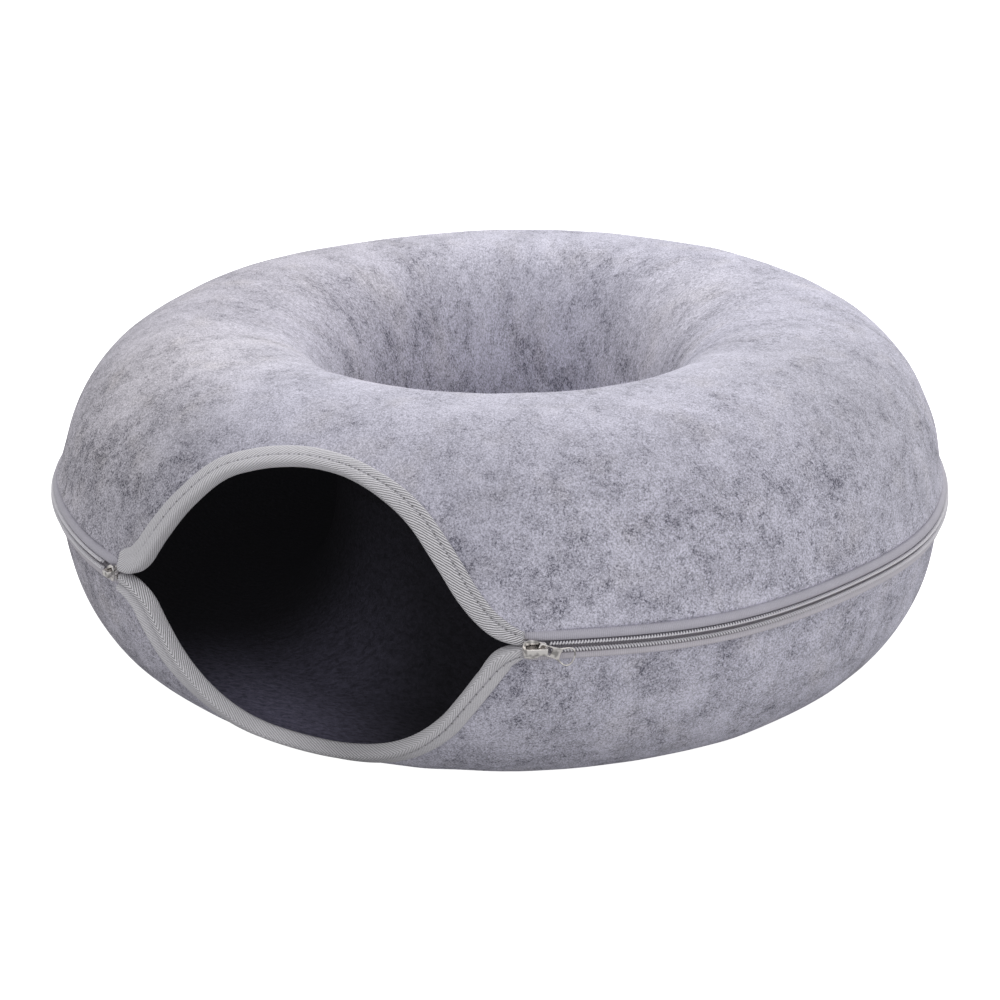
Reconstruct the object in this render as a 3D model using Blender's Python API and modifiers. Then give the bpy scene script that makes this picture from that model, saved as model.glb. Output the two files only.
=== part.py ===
"""Felt cat cave: two moulded felt half rings, zipped together round the outside, with a bound mouth.

Metres, +Z up. The ring stands on z = 0 and the mouth faces -Y. An azimuth is measured from -Y towards
+X, and a turn runs over a half ring's section, from 0 at the zip over 90 at the crest to 180 at the waist.
"""

import math

import bmesh
import bpy
from mathutils import Matrix, Vector

MM = 0.001
SHARP_ANGLE = math.radians(50)

# The ring, in mm
RING_RADIUS = 250.0
CREST_RADIUS = 171.0
WAIST_RADIUS = 90.4
ZIP_HEIGHT = 96.0
FELT_THICKNESS = 4.0
RING_AXIS_Y = -8.5

# Each moulded half: its depth from the zip, and how square its outer and inner sides are
HALVES = {
    "upper": {"up": 1, "depth": 90.2, "outer_power": 1.91, "inner_power": 2.65},
    "lower": {"up": -1, "depth": 98.1, "outer_power": 2.46, "inner_power": 2.46},
}

# The felt flares out to the zip
FLARE = 2.2
FLARE_REACH = 15.0

# Pieces that touch are this far apart
GAP = 0.3

# The felt's edges at the zip and at the waist, from the zip's plane
ZIP_EDGE = 2.5
WAIST_EDGE = 0.15

# How the hand-finished ring departs from a true one: waves round it, as a share of the size
RADIUS_WAVE = {"waves": 2, "share": 0.0144, "peak_deg": 121.0}
HEIGHT_WAVES = (
    {"waves": 1, "share": 0.0217, "peak_deg": 73.0},
    {"waves": 2, "share": 0.0098, "peak_deg": -21.0},
)
ZIP_WAVER = {"waves": 9, "height": 1.0, "peak_deg": 71.3, "reach": 30.0}

# The mouth: how far the felt's cut edge lies above and below the zip, from corner to corner
MOUTH_HALF_SPAN = 27.5
MOUTH_COLUMNS = ("azimuth_deg", "upper_mm", "lower_mm")
MOUTH_EDGE = (
    (-27.5, 2.5, 2.5),
    (-26.0, 2.9, 3.1),
    (-24.0, 5.0, 5.0),
    (-22.0, 13.0, 11.5),
    (-20.0, 27.0, 24.5),
    (-17.5, 43.5, 42.5),
    (-14.0, 60.0, 62.0),
    (-10.0, 67.6, 77.5),
    (-5.0, 72.0, 83.5),
    (0.0, 73.0, 84.0),
    (5.0, 70.6, 80.0),
    (10.0, 63.7, 72.5),
    (14.0, 53.4, 61.8),
    (17.5, 37.0, 47.0),
    (20.0, 22.3, 31.5),
    (22.0, 12.5, 18.5),
    (24.0, 6.0, 7.0),
    (26.0, 2.9, 2.9),
    (27.5, 2.5, 2.5),
)

# The felt's mesh: columns round the ring, and rows over the section, closest at its outer edge. The crest,
# flat on the floor under the lower half, is where the height is over this share of the depth
MOUTH_FACES = 26
BACK_FACES = 50
OUTER_ROWS = (0.0, 0.06, 0.14, 0.26, 0.42, 0.6, 0.8)
CREST_FACES = 2
INNER_FACES = 5
CREST_SHARE = 0.9786

# The folded tape that binds the mouth's edge
BINDING_LEG = {"upper": 8.0, "lower": 10.0}
BINDING_THICKNESS = 1.0
BINDING_GAP = 0.6
BINDING_INSIDE_GAP = 1.3
BINDING_ROUNDING = 0.6
BINDING_END_LEG = 5.5
BINDING_TAPER_START = 0.78
BINDING_HALF_SPAN = 26.5

# The zip: two tapes on the felt, and a coil row on each
ZIP_HALF_SPAN = 27.4
COIL_HALF_SPAN = 29.7
ZIP_STEPS = 50
TAPE_GAP = 0.65
TAPE_THICKNESS = 1.6
TAPE_START = 2.9
TAPE_WIDTH = {"upper": 5.6, "lower": 5.0}
TAPE_CROWN = ((0.0, 0.72), (0.2, 1.0), (0.55, 1.0), (0.85, 0.95), (1.0, 0.5))
COIL_SIDES = 6
COIL_START = 0.15
COIL_WIDTH = 2.4
COIL_DEPTH = 2.4
COIL_LIFT = 1.2

# The sliders, centred between their ends
SLIDER_AZIMUTH = 28.1
SLIDER_LENGTH = 12.0
SLIDER_SIDE_COLUMNS = ("from_front_mm", "half_width_mm")
SLIDER_SIDE = (
    (1.0, 0.0),
    (0.0, 2.1),
    (0.5, 3.8),
    (1.7, 4.7),
    (4.0, 4.6),
    (6.5, 3.5),
    (11.2, 3.2),
    (12.0, 2.4),
)
SLIDER_PLATE = 1.4
SLIDER_SEAT = 4.5
SLIDER_BEVEL = 0.45
POST = (3.4, 2.6)
POST_SETBACK = 1.4
KEEPER = (9.0, 4.0, 1.2)
BRIDGE_LENGTH = 9.0
BRIDGE_WIDTH = 2.2
BRIDGE_HEIGHT = 3.4
BRIDGE_BAR = 1.1
BRIDGE_LEG = 1.5
BRIDGE_SHOULDER = 0.05
BRIDGE_CENTRE = 0.3

# The pull tab of the right slider
TAB_LENGTH = 18.6
TAB_NECK = 4.4
TAB_NECK_LENGTH = 7.6
TAB_END = 9.4
TAB_THICKNESS = 0.9
TAB_RIM = 1.1
TAB_LOOP = (11.4, 7.4)
TAB_ARM = 0.55
TAB_END_STEPS = 6
TAB_DROOP_DEG = 11.0
TAB_EYE = (1.2, 6.4)
TAB_PIVOT = 4.1


def cosine_wave(wave, azimuth):
    """One wave round the ring, from -1 to 1."""
    return math.cos(wave["waves"] * (azimuth - math.radians(wave["peak_deg"])))


def uneven(point):
    """Where a point of a true ring, in mm from the zip's plane, lies on the hand-finished one."""
    azimuth = math.atan2(point.x, -point.y)
    widen = 1 + RADIUS_WAVE["share"] * cosine_wave(RADIUS_WAVE, azimuth)
    height = point.z
    if height > 0:
        height *= 1 + sum(w["share"] * cosine_wave(w, azimuth) for w in HEIGHT_WAVES)
    height += (
        ZIP_WAVER["height"]
        * cosine_wave(ZIP_WAVER, azimuth)
        * math.exp(-((point.z / ZIP_WAVER["reach"]) ** 2))
    )
    height = max(height, -ZIP_HEIGHT)
    return Vector((point.x * widen, point.y * widen, height))


def section_point(half, turn):
    """(radius, height) on a half ring's outer face."""
    shape = HALVES[half]
    across, along = math.cos(turn), math.sin(turn)
    if across >= 0:
        power, reach = shape["outer_power"], RING_RADIUS - CREST_RADIUS
    else:
        power, reach = shape["inner_power"], CREST_RADIUS - WAIST_RADIUS
    radius = CREST_RADIUS + math.copysign(abs(across) ** (2 / power), across) * reach
    height = along ** (2 / power) * shape["depth"]
    if across > 0 and height < FLARE_REACH:
        radius += FLARE * math.cos(math.pi / 2 * height / FLARE_REACH) ** 2
    return radius, min(height, ZIP_HEIGHT) * shape["up"]


def turn_at(half, height):
    """The turn at which the outer side of a half ring is this far from the zip's plane."""
    shape = HALVES[half]
    return math.asin((height / shape["depth"]) ** (shape["outer_power"] / 2))


def ring_point(half, azimuth, turn, lift=0.0):
    """A point of the true ring, lifted off its outer face along the normal."""
    radius, height = section_point(half, turn)
    if lift:
        step = 1e-4
        radius_before, height_before = section_point(half, turn - step)
        radius_after, height_after = section_point(half, turn + step)
        along = Vector((radius_after - radius_before, height_after - height_before))
        along.normalize()
        up = HALVES[half]["up"]
        radius += lift * along.y * up
        height -= lift * along.x * up
    return Vector((radius * math.sin(azimuth), -radius * math.cos(azimuth), height))


def mouth_height(half, azimuth_deg):
    """How far the felt's cut edge is from the zip's plane, on a smooth curve through the table."""
    column = MOUTH_COLUMNS.index(half + "_mm")
    rows = [(row[0], row[column]) for row in MOUTH_EDGE]
    last = len(rows) - 1
    k = next(i for i in range(last) if azimuth_deg <= rows[i + 1][0] or i == last - 1)

    def slope(i):
        before, after = rows[max(i - 1, 0)], rows[min(i + 1, last)]
        return (after[1] - before[1]) / (after[0] - before[0])

    (start, low), (end, high) = rows[k], rows[k + 1]
    run = end - start
    t = (azimuth_deg - start) / run
    return (
        (2 * t**3 - 3 * t**2 + 1) * low
        + (t**3 - 2 * t**2 + t) * run * slope(k)
        + (3 * t**2 - 2 * t**3) * high
        + (t**3 - t**2) * run * slope(k + 1)
    )


def even_azimuths(half, half_span, faces):
    """Azimuths that part the mouth's edge into steps of equal length, in degrees."""
    samples = 400
    azimuths = [half_span * (2 * i / samples - 1) for i in range(samples + 1)]
    points = []
    for azimuth in azimuths:
        turn = turn_at(half, mouth_height(half, azimuth))
        points.append(ring_point(half, math.radians(azimuth), turn))
    lengths = [0.0]
    for before, after in zip(points, points[1:]):
        lengths.append(lengths[-1] + (after - before).length)
    found = []
    for face in range(faces + 1):
        want = lengths[-1] * face / faces
        k = next(i for i in range(1, samples + 1) if lengths[i] >= want - 1e-9)
        share = (want - lengths[k - 1]) / (lengths[k] - lengths[k - 1])
        found.append(azimuths[k - 1] + share * (azimuths[k] - azimuths[k - 1]))
    return found


def half_ring_columns(half):
    """(azimuth in degrees, turn of the felt's outer edge) for each column, once round from the back."""
    side = []
    for k in range(BACK_FACES // 2):
        side.append(180 - (180 - MOUTH_HALF_SPAN) * 2 * k / BACK_FACES)
    mouth = even_azimuths(half, MOUTH_HALF_SPAN, MOUTH_FACES)
    azimuths = [-a for a in side] + mouth + list(reversed(side))
    columns = []
    for azimuth in azimuths:
        height = ZIP_EDGE
        if abs(azimuth) < MOUTH_HALF_SPAN:
            height = mouth_height(half, azimuth)
        columns.append((azimuth, turn_at(half, height)))
    return columns


def half_ring_rows(half, edge_turn):
    """The turn of each row of one column, from the felt's outer edge over the crest to the waist."""
    shape = HALVES[half]
    crest_start = math.asin(CREST_SHARE ** (shape["outer_power"] / 2))
    crest_end = math.pi - math.asin(CREST_SHARE ** (shape["inner_power"] / 2))
    waist = math.pi - math.asin((WAIST_EDGE / shape["depth"]) ** (shape["inner_power"] / 2))
    turns = [edge_turn + (crest_start - edge_turn) * share for share in OUTER_ROWS]
    for start, end, faces in (
        (crest_start, crest_end, CREST_FACES),
        (crest_end, waist, INNER_FACES),
    ):
        turns += [start + (end - start) * k / faces for k in range(faces)]
    return turns + [waist]


def settle(mesh):
    """Brings a mesh in mm on the true ring to metres on the uneven one, standing on z = 0."""
    for vertex in mesh.vertices:
        point = uneven(vertex.co)
        vertex.co = (point + Vector((0, 0, ZIP_HEIGHT))) * MM
    mesh.update()


def add_object(name, mesh):
    piece = bpy.data.objects.new(name, mesh)
    parts.objects.link(piece)
    piece.parent = ring_axis
    return piece


def evaluated_mesh(piece):
    """The object's mesh with its modifiers applied. The object itself is removed."""
    graph = bpy.context.evaluated_depsgraph_get()
    mesh = bpy.data.meshes.new_from_object(piece.evaluated_get(graph))
    bpy.data.objects.remove(piece)
    return mesh


def mesh_from(build):
    """A new mesh filled by a function that takes a bmesh."""
    mesh = bpy.data.meshes.new("mesh")
    bm = bmesh.new()
    build(bm)
    bm.to_mesh(mesh)
    bm.free()
    return mesh


def half_ring(half):
    """A moulded half: a flat grid bent over the ring, thickened inwards."""
    columns = half_ring_columns(half)
    rows = [half_ring_rows(half, edge_turn) for _, edge_turn in columns]
    across, along = len(columns) - 1, len(rows[0]) - 1

    def bend(bm):
        bmesh.ops.create_grid(bm, x_segments=across, y_segments=along, size=1)
        for vertex in bm.verts:
            column = round((vertex.co.x + 1) / 2 * across)
            turn = rows[column][round((vertex.co.y + 1) / 2 * along)]
            vertex.co = ring_point(half, math.radians(columns[column][0]), turn)
        bmesh.ops.remove_doubles(bm, verts=bm.verts, dist=0.01)
        if HALVES[half]["up"] < 0:
            bmesh.ops.reverse_faces(bm, faces=bm.faces)

    piece = add_object("felt", mesh_from(bend))
    felt = piece.modifiers.new("felt_thickness", "SOLIDIFY")
    felt.thickness = FELT_THICKNESS
    felt.offset = -1
    felt.use_even_offset = True
    mesh = evaluated_mesh(piece)
    up = HALVES[half]["up"]
    for vertex in mesh.vertices:
        at_waist = vertex.co.xy.length < CREST_RADIUS
        trim = WAIST_EDGE if at_waist else ZIP_EDGE
        vertex.co.z = max(vertex.co.z * up, trim) * up
    settle(mesh)
    mesh.shade_smooth()
    mesh.set_sharp_from_angle(angle=SHARP_ANGLE)
    return add_object(half + "_half_ring", mesh)


def loft(bm, sections):
    """Skins a row of closed sections and closes both ends."""
    rings = [[bm.verts.new(point) for point in section] for section in sections]
    count = len(rings[0])
    for before, after in zip(rings, rings[1:]):
        for k in range(count):
            n = (k + 1) % count
            bm.faces.new((before[k], before[n], after[n], after[k]))
    bm.faces.new(rings[0])
    bm.faces.new(reversed(rings[-1]))
    bmesh.ops.recalc_face_normals(bm, faces=bm.faces)


def binding_leg(half, azimuth_deg):
    """How far the binding reaches over the felt: less near the corners, where its ends tuck in."""
    share = abs(azimuth_deg) / BINDING_HALF_SPAN
    taper = max(0.0, (share - BINDING_TAPER_START) / (1 - BINDING_TAPER_START))
    leg = BINDING_LEG[half]
    return leg - (leg - BINDING_END_LEG) * taper * taper * (3 - 2 * taper)


def binding_outline(leg):
    """The folded tape's section: (distance from the felt's edge into the felt, lift) of each corner."""
    outside = (BINDING_GAP, BINDING_GAP + BINDING_THICKNESS)
    inside = (
        -FELT_THICKNESS - BINDING_INSIDE_GAP,
        -FELT_THICKNESS - BINDING_INSIDE_GAP - BINDING_THICKNESS,
    )
    fold = -BINDING_GAP - BINDING_THICKNESS
    middle = leg / 2
    return (
        (leg, outside[1]),
        (middle, outside[1]),
        (0, outside[1]),
        (fold, outside[0] - BINDING_ROUNDING),
        (fold, inside[0] + BINDING_ROUNDING),
        (0, inside[1]),
        (middle, inside[1]),
        (leg, inside[1]),
        (leg, inside[0]),
        (middle, inside[0]),
        (-BINDING_GAP, inside[0]),
        (-BINDING_GAP, outside[0]),
        (middle, outside[0]),
        (leg, outside[0]),
    )


def binding_section(half, azimuth_deg):
    """The tape's section across the felt's cut edge at one azimuth, on the true ring."""
    step = 0.05

    def edge(angle_deg):
        return math.radians(angle_deg), turn_at(half, mouth_height(half, angle_deg))

    azimuth, turn = edge(azimuth_deg)
    run = ring_point(half, *edge(azimuth_deg + step)) - ring_point(half, *edge(azimuth_deg - step))
    small = 1e-4
    per_azimuth = ring_point(half, azimuth + small, turn) - ring_point(half, azimuth - small, turn)
    per_turn = ring_point(half, azimuth, turn + small) - ring_point(half, azimuth, turn - small)
    per_azimuth /= 2 * small
    per_turn /= 2 * small
    into_felt = per_azimuth.cross(per_turn).cross(run).normalized()
    if into_felt.dot(per_turn) < 0:
        into_felt.negate()
    azimuth_rate = into_felt.dot(per_azimuth) / per_azimuth.length_squared
    turn_rate = into_felt.dot(per_turn) / per_turn.length_squared
    return [
        ring_point(half, azimuth + azimuth_rate * inward, turn + turn_rate * inward, lift)
        for inward, lift in binding_outline(binding_leg(half, azimuth_deg))
    ]


def mouth_binding(half):
    """Tape folded over the felt's cut edge, from corner to corner."""
    inner = [a for a, _ in half_ring_columns(half) if abs(a) < BINDING_HALF_SPAN - 0.3]
    azimuths = [-BINDING_HALF_SPAN, *inner, BINDING_HALF_SPAN]
    mesh = mesh_from(lambda bm: loft(bm, [binding_section(half, a) for a in azimuths]))
    settle(mesh)
    mesh.shade_smooth()
    mesh.set_sharp_from_angle(angle=SHARP_ANGLE)
    return add_object(half + "_mouth_binding", mesh)


def turned_strip(name, outline, half_span_deg):
    """A closed outline of (radius, height) turned from one corner of the mouth round to the other."""

    def draw(bm):
        corners = [bm.verts.new((radius, 0, height)) for radius, height in outline]
        for k, corner in enumerate(corners):
            bm.edges.new((corner, corners[(k + 1) % len(corners)]))

    piece = add_object("strip", mesh_from(draw))
    turn = piece.modifiers.new("round_the_ring", "SCREW")
    turn.axis = "Z"
    turn.angle = math.radians(360 - 2 * half_span_deg)
    turn.steps = turn.render_steps = ZIP_STEPS
    turn.use_merge_vertices = False
    mesh = evaluated_mesh(piece)
    bm = bmesh.new()
    bm.from_mesh(mesh)
    bmesh.ops.holes_fill(bm, edges=[e for e in bm.edges if e.is_boundary])
    bmesh.ops.recalc_face_normals(bm, faces=bm.faces)
    start = math.radians(half_span_deg - 90)
    bmesh.ops.rotate(bm, verts=bm.verts, cent=(0, 0, 0), matrix=Matrix.Rotation(start, 3, "Z"))
    bm.to_mesh(mesh)
    bm.free()
    settle(mesh)
    mesh.shade_smooth()
    mesh.set_sharp_from_angle(angle=SHARP_ANGLE)
    return add_object(name, mesh)


def zip_tape(half):
    """The zip's tape, which lies on the felt and stands a little proud of it."""
    under, over = [], []
    for width_share, thickness_share in TAPE_CROWN:
        height = TAPE_START + TAPE_WIDTH[half] * width_share
        radius = section_point(half, turn_at(half, height))[0] + TAPE_GAP
        height *= HALVES[half]["up"]
        under.append((radius, height))
        over.append((radius + TAPE_THICKNESS * thickness_share, height))
    return turned_strip(half + "_zip_tape", under + over[::-1], ZIP_HALF_SPAN)


def zip_coil(half):
    """The nylon coil along the tape's edge, as the strip that its turns fill."""
    base = RING_RADIUS + FLARE + COIL_LIFT
    outline = []
    for corner in range(COIL_SIDES):
        angle = math.tau * (corner + 0.5) / COIL_SIDES
        radius = base + COIL_DEPTH / 2 * math.cos(angle) / math.cos(math.pi / COIL_SIDES)
        height = COIL_START + COIL_WIDTH / 2 * (1 + math.sin(angle))
        outline.append((radius, height * HALVES[half]["up"]))
    return turned_strip(half + "_zip_coil", outline, COIL_HALF_SPAN)


def box(size, centre):
    def build(bm):
        bmesh.ops.create_cube(bm, size=1)
        bmesh.ops.scale(bm, vec=size, verts=bm.verts)
        bmesh.ops.translate(bm, vec=centre, verts=bm.verts)

    return mesh_from(build)


def flat_plate(outlines, thickness):
    """A plate with the given closed outlines, the first its edge and the others its holes."""
    curve = bpy.data.curves.new("plate", "CURVE")
    curve.dimensions = "2D"
    curve.fill_mode = "BOTH"
    curve.extrude = thickness / 2
    for outline in outlines:
        spline = curve.splines.new("POLY")
        spline.points.add(len(outline) - 1)
        spline.use_cyclic_u = True
        for point, (x, y) in zip(spline.points, outline):
            point.co = (x, y, 0, 1)
    piece = bpy.data.objects.new("plate", curve)
    parts.objects.link(piece)
    mesh = evaluated_mesh(piece)
    bm = bmesh.new()
    bm.from_mesh(mesh)
    bmesh.ops.remove_doubles(bm, verts=bm.verts, dist=1e-4)
    bmesh.ops.recalc_face_normals(bm, faces=bm.faces)
    bm.to_mesh(mesh)
    bm.free()
    return mesh


def joined(meshes):
    """One mesh from several that overlap, by Boolean union."""
    first = bpy.data.objects.new("first", meshes[0])
    parts.objects.link(first)
    for mesh in meshes[1:]:
        other = bpy.data.objects.new("other", mesh)
        cutters.objects.link(other)
        union = first.modifiers.new("union", "BOOLEAN")
        union.operation = "UNION"
        union.solver = "EXACT"
        union.object = other
    mesh = evaluated_mesh(first)
    for other in list(cutters.objects):
        bpy.data.objects.remove(other)
    return mesh


def slider_outline():
    """The slider's plate from above: round-shouldered and wide at the mouth, narrow where the coil is."""
    side = [(from_front - SLIDER_LENGTH / 2, half_width) for from_front, half_width in SLIDER_SIDE]
    return side + [(x, -y) for x, y in reversed(side[1:])]


def bridge_leg_x(side):
    """Where the bridge's leg stands along the slider."""
    return BRIDGE_CENTRE + side * ((BRIDGE_LENGTH - BRIDGE_LEG) / 2 - BRIDGE_SHOULDER)


def slider_body():
    """Plate, keeper behind the felt's edge, post between them and the bridge over the plate, in mm.

    +X points away from the mouth, +Z out of the ring, and z = 0 is the plate's underside.
    """
    plate = flat_plate([slider_outline()], SLIDER_PLATE)
    plate.transform(Matrix.Translation((0, 0, SLIDER_PLATE / 2)))
    drop = SLIDER_SEAT + FELT_THICKNESS / 2
    post_length, post_width = POST
    front = POST_SETBACK - SLIDER_LENGTH / 2
    post = box(
        (post_length, post_width, drop + SLIDER_PLATE / 2),
        (front + post_length / 2, 0, (SLIDER_PLATE / 2 - drop) / 2),
    )
    keeper_length, keeper_width, keeper_thick = KEEPER
    keeper = box(
        (keeper_length, keeper_width, keeper_thick),
        (front + keeper_length / 2, 0, -drop + keeper_thick / 2),
    )
    top = SLIDER_PLATE + BRIDGE_HEIGHT
    rail = box((BRIDGE_LENGTH, BRIDGE_WIDTH, BRIDGE_BAR), (BRIDGE_CENTRE, 0, top - BRIDGE_BAR / 2))
    leg_base, leg_top = SLIDER_PLATE / 2, top - BRIDGE_BAR / 2
    leg_size = (BRIDGE_LEG, BRIDGE_WIDTH - 2 * BRIDGE_SHOULDER, leg_top - leg_base)
    legs = [
        box(leg_size, (bridge_leg_x(side), 0, (leg_top + leg_base) / 2)) for side in (-1, 1)
    ]
    return joined([plate, post, keeper, *legs, rail])


def slider_place(side):
    """The matrix that seats a slider on the zip at one corner of the mouth, in metres."""
    middle, step = math.radians(SLIDER_AZIMUTH) * side, math.radians(1)
    radius = RING_RADIUS + SLIDER_SEAT

    def zip_line(azimuth):
        return uneven(Vector((radius * math.sin(azimuth), -radius * math.cos(azimuth), 0)))

    away = (zip_line(middle + step) - zip_line(middle - step)).normalized() * side
    across = Vector((math.sin(middle), -math.cos(middle), 0)).cross(away).normalized()
    outward = away.cross(across)
    turn = Matrix((away, across, outward)).transposed().to_4x4()
    place = Matrix.Translation((zip_line(middle) + Vector((0, 0, ZIP_HEIGHT))) * MM)
    return place @ turn @ Matrix.Scale(MM, 4)


def place_metal(name, mesh, matrix):
    """Puts a metal piece, made in mm, in its place, with its edges eased."""
    mesh.transform(matrix)
    piece = add_object(name, mesh)
    ease = piece.modifiers.new("eased_edges", "BEVEL")
    ease.width = SLIDER_BEVEL * MM
    ease.segments = 1
    ease.limit_method = "ANGLE"
    ease.angle_limit = SHARP_ANGLE
    return piece


def slider(name, side):
    return place_metal(name, slider_body(), slider_place(side))


def flared_outline(start, start_width, inset):
    """A closed outline that flares from its start to the pull's round end, drawn in by the inset."""
    half_start, half_end = start_width / 2 - inset, TAB_END / 2 - inset
    centre = TAB_LENGTH - TAB_END / 2
    points = [(start, -half_start)]
    for step in range(TAB_END_STEPS + 1):
        angle = math.pi * (step / TAB_END_STEPS - 0.5)
        points.append((centre + half_end * math.cos(angle), half_end * math.sin(angle)))
    points.append((start, half_start))
    return points


def pull_tab():
    """The right slider's flat pull: an eye round the bridge, a straight neck and a flared, open end."""
    half_neck = TAB_NECK / 2
    flare = flared_outline(TAB_NECK_LENGTH, TAB_NECK, 0)
    edge = [(0, half_neck), (0, -half_neck), *flare]
    loop_start, loop_width = TAB_LOOP
    loop = flared_outline(loop_start, loop_width, TAB_RIM)
    (eye_start, eye_end), eye_half = TAB_EYE, half_neck - TAB_ARM
    eye = [(eye_start, -eye_half), (eye_end, -eye_half), (eye_end, eye_half), (eye_start, eye_half)]
    mesh = flat_plate([edge, loop, eye], TAB_THICKNESS)
    lift = SLIDER_PLATE + GAP + TAB_THICKNESS / 2
    droop = Matrix.Rotation(-math.radians(TAB_DROOP_DEG), 4, "Z")
    pivot = Vector((TAB_PIVOT, 0, 0))
    leg = Vector((bridge_leg_x(1), 0, lift))
    seat = Matrix.Translation(leg) @ droop @ Matrix.Translation(-pivot)
    mesh.transform(slider_place(1) @ seat)
    return add_object("right_pull_tab", mesh)


def material(name, colour, roughness, metallic=0.0):
    """A plain Principled material: linear colour, roughness, metallic."""
    made = bpy.data.materials.new(name)
    made.use_nodes = True
    surface = made.node_tree.nodes["Principled BSDF"]
    surface.inputs["Base Color"].default_value = (*colour, 1)
    surface.inputs["Roughness"].default_value = roughness
    surface.inputs["Metallic"].default_value = metallic
    made.diffuse_color = (*colour, 1)
    return made


def finish(piece, made):
    piece.data.materials.clear()
    piece.data.materials.append(made)


for old in list(bpy.data.objects):
    bpy.data.objects.remove(old)

parts = bpy.data.collections.new("felt_cat_cave")
cutters = bpy.data.collections.new("cutters")
bpy.context.scene.collection.children.link(parts)
bpy.context.scene.collection.children.link(cutters)
cutters.hide_render = True

ring_axis = bpy.data.objects.new("ring_axis", None)
ring_axis.location = (0, RING_AXIS_Y * MM, 0)
parts.objects.link(ring_axis)

grey_felt = material("grey_felt", (0.42, 0.41, 0.45), 0.95)
grey_tape = material("grey_tape", (0.36, 0.36, 0.38), 0.85)
zip_nylon = material("zip_nylon", (0.55, 0.55, 0.57), 0.45)
plated_zinc = material("plated_zinc", (0.75, 0.73, 0.69), 0.2, 1.0)

for half_name in HALVES:
    finish(half_ring(half_name), grey_felt)
    finish(mouth_binding(half_name), grey_tape)
    finish(zip_tape(half_name), grey_tape)
    finish(zip_coil(half_name), zip_nylon)
finish(slider("right_slider", 1), plated_zinc)
finish(slider("left_slider", -1), plated_zinc)
finish(pull_tab(), plated_zinc)
bpy.context.view_layer.update()
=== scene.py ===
"""Felt cat cave: the looks of the felt ring, its bound mouth and its zip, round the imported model.

Lengths in the tables and in the functions' arithmetic are millimetres on a true ring, measured from
the zip's plane. settle() takes them to metres on the hand-finished ring, which stands on z = 0. An
azimuth is measured from -Y towards +X. A turn runs over a half ring's section, from 0 at the zip
over 90 degrees at the crest to 180 at the waist.
"""

import math
from functools import partial

import bpy
import numpy as np
from bpy.props import FloatProperty, FloatVectorProperty, PointerProperty
from mathutils import Matrix, Vector


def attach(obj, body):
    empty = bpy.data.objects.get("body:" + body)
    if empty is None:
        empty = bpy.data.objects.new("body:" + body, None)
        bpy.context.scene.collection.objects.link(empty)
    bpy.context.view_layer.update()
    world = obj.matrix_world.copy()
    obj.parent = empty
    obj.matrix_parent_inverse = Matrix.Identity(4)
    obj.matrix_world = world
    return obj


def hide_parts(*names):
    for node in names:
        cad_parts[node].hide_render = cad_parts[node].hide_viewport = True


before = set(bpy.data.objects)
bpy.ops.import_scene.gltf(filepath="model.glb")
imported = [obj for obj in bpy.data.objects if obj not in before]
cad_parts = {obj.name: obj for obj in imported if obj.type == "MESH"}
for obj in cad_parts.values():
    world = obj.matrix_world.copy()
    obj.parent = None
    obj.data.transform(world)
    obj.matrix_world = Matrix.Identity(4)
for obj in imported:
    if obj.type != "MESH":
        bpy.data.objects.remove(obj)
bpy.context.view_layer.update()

bl_info = {
    "name": "Felt Cat Cave",
    "version": (1, 0, 0),
    "blender": (4, 5, 0),
    "location": "View3D > Sidebar > Cat Cave",
    "description": "Dresses the packed cat cave in felt, twill tape, a coil zip and plated metal",
    "category": "Object",
}

MM = 0.001
BODY = "root"

# The ring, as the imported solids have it
RING_RADIUS = 250.0
CREST_RADIUS = 171.0
WAIST_RADIUS = 90.4
ZIP_HEIGHT = 96.0
FELT_THICKNESS = 4.0
RING_AXIS_Y = -8.5
HALVES = {
    "upper": {"up": 1, "depth": 90.2, "outer_power": 1.91, "inner_power": 2.65},
    "lower": {"up": -1, "depth": 98.1, "outer_power": 2.46, "inner_power": 2.46},
}
FLARE = 2.2
FLARE_REACH = 15.0
ZIP_EDGE = 2.5
WAIST_EDGE = 0.15
RADIUS_WAVE = {"waves": 2, "share": 0.0144, "peak_deg": 121.0}
HEIGHT_WAVES = (
    {"waves": 1, "share": 0.0217, "peak_deg": 73.0},
    {"waves": 2, "share": 0.0098, "peak_deg": -21.0},
)
ZIP_WAVER = {"waves": 9, "height": 1.0, "peak_deg": 71.3, "reach": 30.0}

# How the sewn cave hangs besides: the zip sags at its sides, and the upper half leans to one side
ZIP_SAGS = (
    {"azimuth_deg": 124.0, "reach_deg": 75.0, "drop": 5.2},
    {"azimuth_deg": -75.0, "reach_deg": 38.0, "drop": 2.8},
)
LEAN = {"toward_deg": 114.0, "out": 1.1, "from_height": 6.0, "full_height": 30.0}

# How closely a section's length is measured: (first turn, last turn, samples) beside the zip, and
# (first turn, samples) from there to the waist. And how closely the mouth's edge is
SAMPLES_BY_ZIP = (1e-5, 0.05, 400)
SAMPLES_TO_WAIST = (0.0505, 4000)
EDGE_SAMPLES = 4001

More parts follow.
